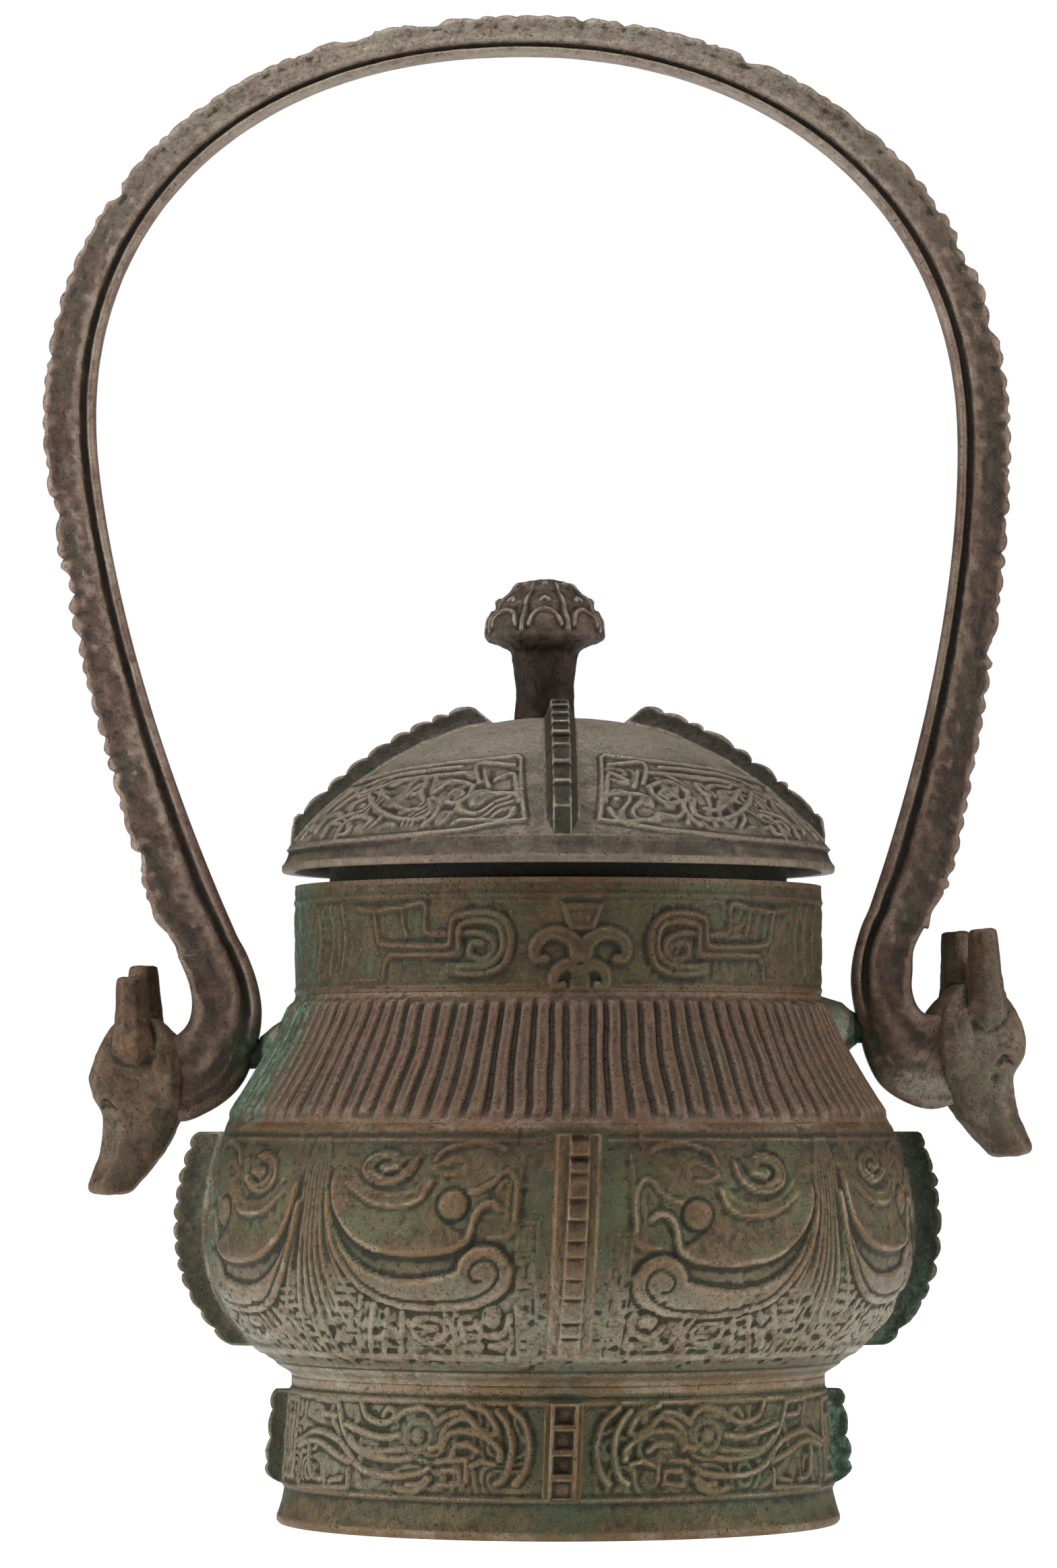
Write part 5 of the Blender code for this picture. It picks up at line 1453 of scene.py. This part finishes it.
# The swing handle's strap.
# One casting, modelled upright around the hinge axis and then leaned. The strap has a flat inner face, a dark
# groove, a sharp edge and a slope out to a worn, notched crest, and its ends turn outwards as lobes.
HANDLE_LEAN = math.radians(2.43)
ARCH_HALF_WIDTH = 103.0
ARCH_WIDEST_HEIGHT = 146.0
ARCH_HEIGHT = 236.2
ARCH_SQUARENESS = 2.15
ARCH_FOOT_HALF_WIDTH = 69.8
ARCH_FOOT_HEIGHT = 14.0
ARCH_SKEW = 5.4
STRAP_DEPTH_TOP = 6.0
STRAP_DEPTH_SIDE = 9.2
STRAP_DEPTH_FOOT = 17.2
STRAP_WIDTH = 8.2
EAR_WIDTH = 15.0
CREST_HEIGHT = 3.4
CREST_FOOT_HEIGHT = 34.0
ARCH_ROWS = 620
FOOT_ROWS = 17
EAR_STEPS = 6
GROOVED_CUTS = 4
STRAP_NOTCH_START = 0.6
TOOTH_LENGTH = 4.8
TOOTH_JITTER = 1.2
STRAP_SIDE = [
    (0.00, 0.72), (0.03, 0.90), (0.07, 1.00), (0.115, 0.99), (0.145, 0.84), (0.175, 0.72), (0.21, 0.70),
    (0.25, 0.78), (0.29, 0.90), (0.33, 0.97), (0.38, 0.95), (0.48, 0.85), (0.58, 0.74), (0.69, 0.61),
    (0.80, 0.49), (0.90, 0.39), (0.96, 0.32), (1.00, 0.20),
]
PLAIN_SIDE = [(0, 0.45), (0.08, 0.72), (0.25, 0.92), (0.5, 1), (0.92, 0.86), (1, 0.5)]


def inner_half_width(height):
    share = (ARCH_WIDEST_HEIGHT - height) / (ARCH_WIDEST_HEIGHT - ARCH_FOOT_HEIGHT)
    return ARCH_HALF_WIDTH - (ARCH_HALF_WIDTH - ARCH_FOOT_HALF_WIDTH) * share**1.7


def strap_depth(height):
    low = np.clip((ARCH_WIDEST_HEIGHT - height) / (ARCH_WIDEST_HEIGHT - ARCH_FOOT_HEIGHT), 0, 1)
    high = np.clip((height - ARCH_WIDEST_HEIGHT) / (ARCH_HEIGHT - ARCH_WIDEST_HEIGHT), 0, 1)
    return (STRAP_DEPTH_SIDE + (STRAP_DEPTH_FOOT - STRAP_DEPTH_SIDE) * low**3
            + (STRAP_DEPTH_TOP - STRAP_DEPTH_SIDE) * high**2)


def arch_line():
    """The inner edge of the strap at even steps, up the left side and down the right."""
    rise = np.linspace(ARCH_FOOT_HEIGHT, ARCH_WIDEST_HEIGHT, 200)[:-1]
    angle = np.linspace(math.pi, 0, 601)
    across = np.abs(np.cos(angle)) ** (2 / ARCH_SQUARENESS) * np.sign(np.cos(angle)) * ARCH_HALF_WIDTH
    up = np.maximum(np.sin(angle), 0) ** (2 / ARCH_SQUARENESS)
    x = np.concatenate([-inner_half_width(rise), across, inner_half_width(rise)[::-1]])
    z = np.concatenate([rise, ARCH_WIDEST_HEIGHT + (ARCH_HEIGHT - ARCH_WIDEST_HEIGHT) * up, rise[::-1]])
    x = x - ARCH_SKEW * (z / ARCH_HEIGHT) ** 3
    way = way_along(x, z)
    even = np.linspace(0, way[-1], ARCH_ROWS)
    return np.column_stack([np.interp(even, way, x), np.interp(even, way, z)])


EAR_CUTS = [
    ((73.7, 24.3), (89.9, 24), 0.20),
    ((71.7, 18.2), (87.7, 18), 0.30),
    ((70.75, 12.6), (87, 13), 0.42),
    ((70.8, 8), (87.6, 9.3), 0.55),
    ((71.6, 3.6), (88.7, 7.2), 0.68),
    ((73, -0.6), (90.1, 5.8), 0.80),
    ((75.3, -5.8), (91.6, 4.8), 0.82),
    ((79, -10), (93.2, 4.2), 0.76),
    ((84.5, -13.4), (95.2, 4.2), 0.56),
    ((91, -15.4), (97.6, 4.4), 0.10),
    ((97.5, -12.8), (99.8, 3.9), -0.45),
]
RIGHT_EAR_CUTS = [
    ((73.7, 24.3), (89, 24), 0.20),
    ((71.7, 18.2), (85.9, 18.5), 0.30),
    ((70.75, 12.6), (85.3, 13.2), 0.42),
    ((70.8, 8), (84.9, 9.2), 0.55),
    ((71.4, 3.4), (85.6, 5.6), 0.68),
    ((72.3, -1.8), (87, 3.4), 0.80),
    ((73.7, -7.8), (88.7, 2.6), 0.80),
    ((76.6, -13.6), (90.6, 2.6), 0.70),
    ((81.9, -17.8), (93, 3), 0.45),
    ((88.5, -20), (96, 3.6), -0.05),
    ((96, -18.4), (99.4, 3.6), -0.55),
]


def handle_place(points):
    """From the handle's upright frame to the leaning handle, in millimetres."""
    c, s = math.cos(HANDLE_LEAN), math.sin(HANDLE_LEAN)
    x, y, z = points[..., 0], points[..., 1], points[..., 2]
    return np.stack([AXIS_X / MM + c * x - s * z, y, HINGE_HEIGHT / MM + s * x + c * z], axis=-1)


def strap_rows():
    """The strap's inner and outer line, its half width at each, and the rows of an ear."""
    line = arch_line()[FOOT_ROWS:-FOOT_ROWS]
    travel = np.gradient(line, axis=0)
    travel /= np.linalg.norm(travel, axis=1)[:, None]
    outward = np.column_stack([-travel[:, 1], travel[:, 0]])
    height = line[:, 1]
    crest = CREST_HEIGHT * soft((height - CREST_FOOT_HEIGHT + 3) / 10)
    spread = np.maximum(0, 1 - (height - ARCH_FOOT_HEIGHT) / (STRAP_DEPTH_FOOT * 1.5))
    outer = line + outward * (strap_depth(height) + crest)[:, None]
    half = (STRAP_WIDTH + (EAR_WIDTH - STRAP_WIDTH) * 0.4 * spread) / 2
    ends = []
    for side, cuts, at, lead in ((-1, EAR_CUTS, 0, 8), (1, RIGHT_EAR_CUTS, -1, -9)):
        runs = [
            [line[lead], line[at], *[(side * x, z) for (x, z), _, _ in cuts]],
            [outer[lead], outer[at], *[(side * x, z) for _, (x, z), _ in cuts]],
            [(half[lead], 0), (half[at], 0),
             *[((STRAP_WIDTH + (EAR_WIDTH - STRAP_WIDTH) * wide) / 2, 0) for _, _, wide in cuts]],
        ]
        ends.append([through(run, EAR_STEPS)[EAR_STEPS + 1:] for run in runs])
    left, right = ends
    inner = np.vstack([left[0][::-1], line, right[0]])
    outer = np.vstack([left[1][::-1], outer, right[1]])
    half = np.concatenate([left[2][::-1, 0], half, right[2][:, 0]])
    return inner, outer, half, len(left[0])


def add_strap():
    inner, outer, half, ear = strap_rows()
    rows = len(inner)
    side = np.array(STRAP_SIDE)
    deep = np.concatenate([side[:, 0], side[::-1, 0]])
    wide = np.concatenate([-side[:, 1], side[::-1, 1]])
    size = np.linalg.norm(outer - inner, axis=1)
    span = np.concatenate([[0], np.cumsum(np.linalg.norm(np.diff((inner + outer) / 2, axis=0), axis=1))])
    dice = np.random.default_rng(91)
    teeth = round(span[-1] / TOOTH_LENGTH)
    cuts = uneven_cuts(span[-1], teeth, TOOTH_JITTER, dice)
    depth = dice.uniform(0.7, 1.7, teeth)
    i, share = tooth_at(span, cuts)
    notch = depth[i] * (1 - np.sin(math.pi * share) ** 0.6)
    chips = np.maximum(mottle(span, 0 * span, 0 * span, 5.0, 92) - 0.35, 0) * 2.4
    fin = soft((outer[:, 1] - 24) / 14)
    worn_top = 1 - 0.6 * soft((outer[:, 1] - 205) / 22)
    cut = (notch * worn_top + chips) * fin
    ear -= GROOVED_CUTS * EAR_STEPS
    ear_rows = np.concatenate([np.ones(ear), np.zeros(rows - 2 * ear), np.ones(ear)])
    spread_out = np.convolve(np.pad(ear_rows, 12, "edge"), np.ones(25) / 25, "valid")
    smooth_ear = soft(spread_out)[:, None]
    plain = np.interp(deep, *zip(*PLAIN_SIDE)) * np.sign(wide)
    wide_at = wide * (1 - smooth_ear) + plain * smooth_ear
    notched = (cut / size)[:, None] * (deep - STRAP_NOTCH_START) / (1 - STRAP_NOTCH_START)
    reach = deep - np.where(deep > STRAP_NOTCH_START, notched, 0)
    base = inner[:, None, :] + (outer - inner)[:, None, :] * reach[:, :, None]
    y = wide_at * half[:, None]
    x, z = base[..., 0], base[..., 1]
    outward = np.sign(wide)
    streak = lumps(span[:, None] / 5 + 0 * x, deep * 14 + 0 * x, outward * 9 + 0 * x, (0.10, 1, 93))
    rough = lumps(x, y, z, (0.14, 2.6, 94), (0.08, 1.2, 95))
    y = y + outward * (streak + rough)
    return tube("strap", handle_place(np.stack([x, y, z], axis=-1)), sharp_ends=True)


PIN_RADIUS = 3.5
PIN_REACH = 85.5
PIN_CLEARANCE = 0.4
BORE_START = 66.0


def hinge_bore(side):
    """A round bar on the leaning axis, from before the lobe's inner face to just past the pin's end."""
    start, end = side * BORE_START, side * (PIN_REACH + PIN_CLEARANCE)
    bpy.ops.object.select_all(action="DESELECT")
    bpy.ops.mesh.primitive_cylinder_add(
        vertices=48, radius=(PIN_RADIUS + PIN_CLEARANCE) * MM, depth=abs(end - start) * MM,
        location=handle_place(np.array([(start + end) / 2, 0.0, 0.0])) * MM,
        rotation=(0, math.pi / 2 - HANDLE_LEAN, 0), calc_uvs=False,
    )
    bpy.ops.object.transform_apply()
    return bpy.context.object


def use_modifiers(piece):
    bpy.ops.object.select_all(action="DESELECT")
    piece.select_set(True)
    bpy.context.view_layer.objects.active = piece
    for modifier in list(piece.modifiers):
        bpy.ops.object.modifier_apply(modifier=modifier.name)


strap = add_strap()
for side in (-1, 1):
    bore = hinge_bore(side)
    cut = strap.modifiers.new("bore", "BOOLEAN")
    cut.operation = "DIFFERENCE"
    cut.object = bore
    cut.solver = "EXACT"
    use_modifiers(strap)
    bpy.data.objects.remove(bore, do_unlink=True)
mark_stand_out(strap)
handle_bronze = bronze(
    "handle_bronze", skin=(0.072, 0.039, 0.025), ridge=(0.255, 0.172, 0.134), hollow=(0.011, 0.007, 0.005),
    green=(0.064, 0.062, 0.029), green_amount=0.5, dust=(0.098, 0.065, 0.048), dust_amount=0.7,
    worn_and_glint=0.4,
)


# Pale crust mixed with painted light: the top of the arch and the right lobe.
def strap_crust_and_painted_light(degrees, radius, height):
    lobe = 0.7 * soft((109 - height) / 4) * soft((height - 100) / 3)
    return 0.42 * soft((height - 290) / 50) + lobe * (degrees > 0)


# Painted shade: darker low on the strap, on most of the right side and low on the left side.
def strap_painted_shade(degrees, radius, height):
    right = 0.55 * soft((300 - height) / 60) * soft((height - 108) / 8)
    left = 0.40 * soft((175 - height) / 50)
    return 0.2 * soft((124 - height) / 12) + np.where(degrees > 0, right, left)


def strap_verdigris(degrees, radius, height):
    hinge_side = soft((80 - radius) / 7) * soft((121 - height) / 8) * (0.5 + 0.4 * (degrees < 0))
    return hinge_side + 0.5 * soft((101 - height) / 3) * (degrees > 0)


# Pale crust mixed with painted light, and painted shade, on the strap.
stain(strap, "crust_and_painted_light", strap_crust_and_painted_light)
stain(strap, "painted_shade", strap_painted_shade)
stain(strap, "verdigris", strap_verdigris)
belongs(strap, handle_bronze, body="handle", node="handle")


# The hinge pins.
# One round pin on each side of the shoulder in the blind bores of the lobes. Where it leaves the shoulder it
# is thick with crust and bright green corrosion, up to a hair's breadth from the lobe.
CRUST_RINGS = [(6.2, 68.2), (5.4, 69.2), (4.8, 70.0), (4.4, 70.6), (4.0, 71.1), (PIN_RADIUS, 71.4)]
CRUST_END = 71.3
PIN_ROOT_RADIUS = 8.0


def add_pin(label, side):
    """A pin whose root spreads over the sloping shoulder."""
    angle = np.arange(48) * math.pi / 24
    rings = []
    for reach in (-2.0, 0.4):
        y, z = PIN_ROOT_RADIUS * np.sin(angle), PIN_ROOT_RADIUS * np.cos(angle)
        at = handle_place(np.stack([side * NECK_RADIUS + 0 * z, y, z], axis=-1))
        x = np.sqrt(shoulder_radius(at[:, 2]) ** 2 - y**2) + reach
        rings.append(np.column_stack([np.minimum(x, 68.0), y, z]))
    for radius, x in [*CRUST_RINGS, (PIN_RADIUS, 78.0), (PIN_RADIUS, PIN_REACH)]:
        rings.append(np.column_stack([x + 0 * angle, radius * np.sin(angle), radius * np.cos(angle)]))
    rings = np.array(rings)
    swell = 1 + lumps(*np.moveaxis(rings, -1, 0), (0.06, 2.2, 97 + side)) * (rings[..., 0] < CRUST_END)
    rings[..., 1:] *= swell[..., None]
    rings[..., 0] *= side
    return tube(f"hinge_pin_{label}", handle_place(rings))


pin_bronze = bronze(
    "pin_bronze", skin=(0.060, 0.062, 0.036), ridge=(0.15, 0.17, 0.11), hollow=(0.018, 0.018, 0.011),
    green=(0.10, 0.19, 0.13), green_amount=0.9, dust=(0.075, 0.070, 0.042), dust_amount=0.8,
)
for label, side in (("left", -1), ("right", 1)):
    pin = add_pin(label, side)
    mark_stand_out(pin)
    belongs(pin, pin_bronze)


# The animal heads.
# Long-muzzled heads that look outwards and down, each with two flat-topped bottle horns and a wedge between
# them, joined into one skin. Eyes, nostrils and hollow cheeks are sunk into it, and brows stand out.
HEAD_CUTS = [
    (9.6, 3, 11.5, 3.4), (8.4, 2, 13.6, 4.9), (3.2, -2.4, 16.8, 7.7), (-1, -3.3, 18.7, 8.5),
    (-4.8, -3.6, 19.4, 8.7), (-8, -3.2, 19, 8.4), (-10.8, -2.6, 18, 7.6), (-15.2, -1.2, 17.3, 6.6),
    (-21.6, 2.4, 18.4, 5.7), (-26.5, 6.4, 20.4, 5.3), (-30, 9.6, 21.8, 5.1), (-31.6, 11.2, 21, 4.6),
    (-32.2, 12.6, 18.8, 3.2),
]
HEAD_ROOT = 92.5
HORN_SPREAD = 7.0
HORN_FOOT = 7.6
HEAD_VOXEL = 0.55
EYE_HALF = (2.6, 1.7)
HORN_PROFILE = [
    (-0.06, 2.4), (-0.01, 3.9), (0.06, 5), (0.14, 5.5), (0.24, 5.3), (0.34, 4.8), (0.5, 4.4), (0.75, 4),
    (0.97, 3.6), (1, 3.3),
]
MUZZLE_SECTION = [(-1, 0.40), (-0.7, 0.74), (-0.2, 0.95), (0.2, 1), (0.34, 0.98), (0.7, 0.55), (1, 0.20)]
BROW_SECTION = [(-1, 0.70), (-0.8, 0.92), (-0.3, 1), (0.45, 1), (0.8, 0.92), (0.95, 0.70), (1, 0.45)]
EAR_FIN = [(-2, 3, 17.8), (2.5, 4, 16.6), (7.6, 5, 14), (12, 6, 12.8), (15.5, 7, 11.9), (16.3, 8, 10.5)]
EAR_FIN_HALF = 2.0


def head_rings():
    """Level cuts through the head. The muzzle has a narrow bridge with a sharp edge to each cheek."""
    rings = []
    travel = np.linspace(-1, 1, 21)
    for z, near, far, wide in through(HEAD_CUTS, 5):
        brow = soft((z + 14) / 6)
        muzzle_half = np.interp(travel, *zip(*MUZZLE_SECTION))
        brow_half = np.interp(travel, *zip(*BROW_SECTION))
        half = wide * (muzzle_half + (brow_half - muzzle_half) * brow)
        x = (near + far) / 2 + (far - near) / 2 * travel
        x, y = np.concatenate([x, x[::-1]]), np.concatenate([half, -half[::-1]])
        rings.append(np.column_stack([x, y, z + 0 * x]))
    return rings


def horn_rings(across, top):
    """A flat-topped horn with eight faces, swollen at its root."""
    angle = (np.arange(24) + 0.5) * math.pi / 12
    facet = np.cos(math.pi / 8) / np.cos((angle + math.pi / 8) % (math.pi / 4) - math.pi / 8)
    rings = []
    for share, radius in HORN_PROFILE:
        x = HORN_FOOT + radius * facet * np.cos(angle)
        y = across * HORN_SPREAD + radius * facet * np.sin(angle) * 0.95
        rings.append(np.column_stack([x, y, share * top + 0 * angle]))
    return rings


def fin_rings():
    """The wedge between the horns, which stands for the ears and slopes down to the brow."""
    angle = np.arange(16) * math.pi / 8
    rings = []
    for z, near, far in EAR_FIN:
        x = (near + far) / 2 + (far - near) / 2 * np.cos(angle)
        rings.append(np.column_stack([x, EAR_FIN_HALF * np.sin(angle), z + 0 * angle]))
    return rings


def press(points, centre, radius, depth):
    """A smooth dent (or bump, where depth is negative) for the points near a centre."""
    gap = np.linalg.norm((points - centre) / np.array(radius), axis=1)
    return -depth * soft(1 - gap)


def add_head(label, side, turn, horn_tops, eye):
    head = tube(f"head_{label}", head_rings())
    horns = [tube("horn", horn_rings(across, top)) for across, top in zip((-1, 1), horn_tops)]
    fin = tube("ear", fin_rings())
    bpy.ops.object.select_all(action="DESELECT")
    for piece in (head, fin, *horns):
        piece.select_set(True)
    bpy.context.view_layer.objects.active = head
    bpy.ops.object.join()
    skin = head.modifiers.new("skin", "REMESH")
    skin.mode = "VOXEL"
    skin.voxel_size = HEAD_VOXEL * MM
    ease = head.modifiers.new("ease", "SMOOTH")
    ease.factor = 0.5
    ease.iterations = 4
    use_modifiers(head)
    mesh = head.data
    p = read_vectors(mesh.vertices).astype(float) / MM
    normals = read_vectors(mesh.vertex_normals, "vector")
    lift = np.zeros(len(p))
    dents = [
        ((eye[0] - 1.6, 7.2, eye[1] - 4.0), (2.8, 4.0, 2.6), 0.6),
        ((eye[0] + 1.8, 5.4, eye[1] + 6.4), (4.0, 4.2, 3.0), -0.7),
        ((20.0, 2.9, -28.4), (1.5, 1.3, 1.2), 0.6),
        ((9.0, 7.4, -15.0), (6.0, 3.0, 6.0), 0.7),
        ((1.5, 8.6, 0.5), (2.2, 3.0, 6.0), -0.8),
    ]
    for across in (-1, 1):
        cheek = soft((p[:, 1] * across - 1.5) / 2)
        off_x, off_z = p[:, 0] - eye[0], p[:, 2] - eye[1]
        eye_x, eye_z = off_x / EYE_HALF[0], off_z / EYE_HALF[1]
        pit = soft((0.9 - np.maximum(np.abs(eye_x) + 0.5 * eye_z - 0.2, -eye_z)) / 0.7)
        lid_line = soft(1 - np.abs(off_z - 2.4 + 0.16 * off_x) / 1.3)
        lid = lid_line * soft((EYE_HALF[0] - np.abs(off_x)) / 1.8)
        lift += cheek * (0.45 * lid - 0.8 * pit * (1 - lid))
        for centre, radius, depth in dents:
            lift += press(p, np.array(centre) * (1, across, 1), radius, depth)
    lift += lumps(*p.T, (0.16, 3.2, 101), (0.10, 1.3, 102))
    p += normals * lift[:, None]
    c, s = math.cos(turn), math.sin(turn)
    x, y = c * p[:, 0] - s * p[:, 1], s * p[:, 0] + c * p[:, 1]
    placed = handle_place(np.column_stack([side * (HEAD_ROOT + x), y, p[:, 2]]))
    mesh.vertices.foreach_set("co", (placed * MM).astype(np.float32).ravel())
    if side < 0:
        mesh.flip_normals()
    mesh.shade_smooth()
    mark_stand_out(head)
    return head


head_bronze = bronze(
    "head_bronze", skin=(0.116, 0.066, 0.036), ridge=(0.15, 0.092, 0.055), hollow=(0.016, 0.01, 0.006),
    green=(0.096, 0.092, 0.046), green_amount=0.5, dust=(0.14, 0.106, 0.078), dust_amount=0.8,
    worn_and_glint=0.05,
)
HEADS = [
    ("left", -1, math.radians(9), (19.6, 22.5), (15.2, -11.0)),
    ("right", 1, math.radians(23), (22.5, 22.5), (11.8, -9.2)),
]
for label, side, turn, horn_tops, eye in HEADS:
    head = add_head(label, side, turn, horn_tops, eye)
    # Painted shade: darker towards the top of each head.
    stain(head, "painted_shade", lambda degrees, radius, height: 0.3 * soft((height - 118) / 8) + 0 * degrees)
    belongs(head, head_bronze, body="handle", node="handle")
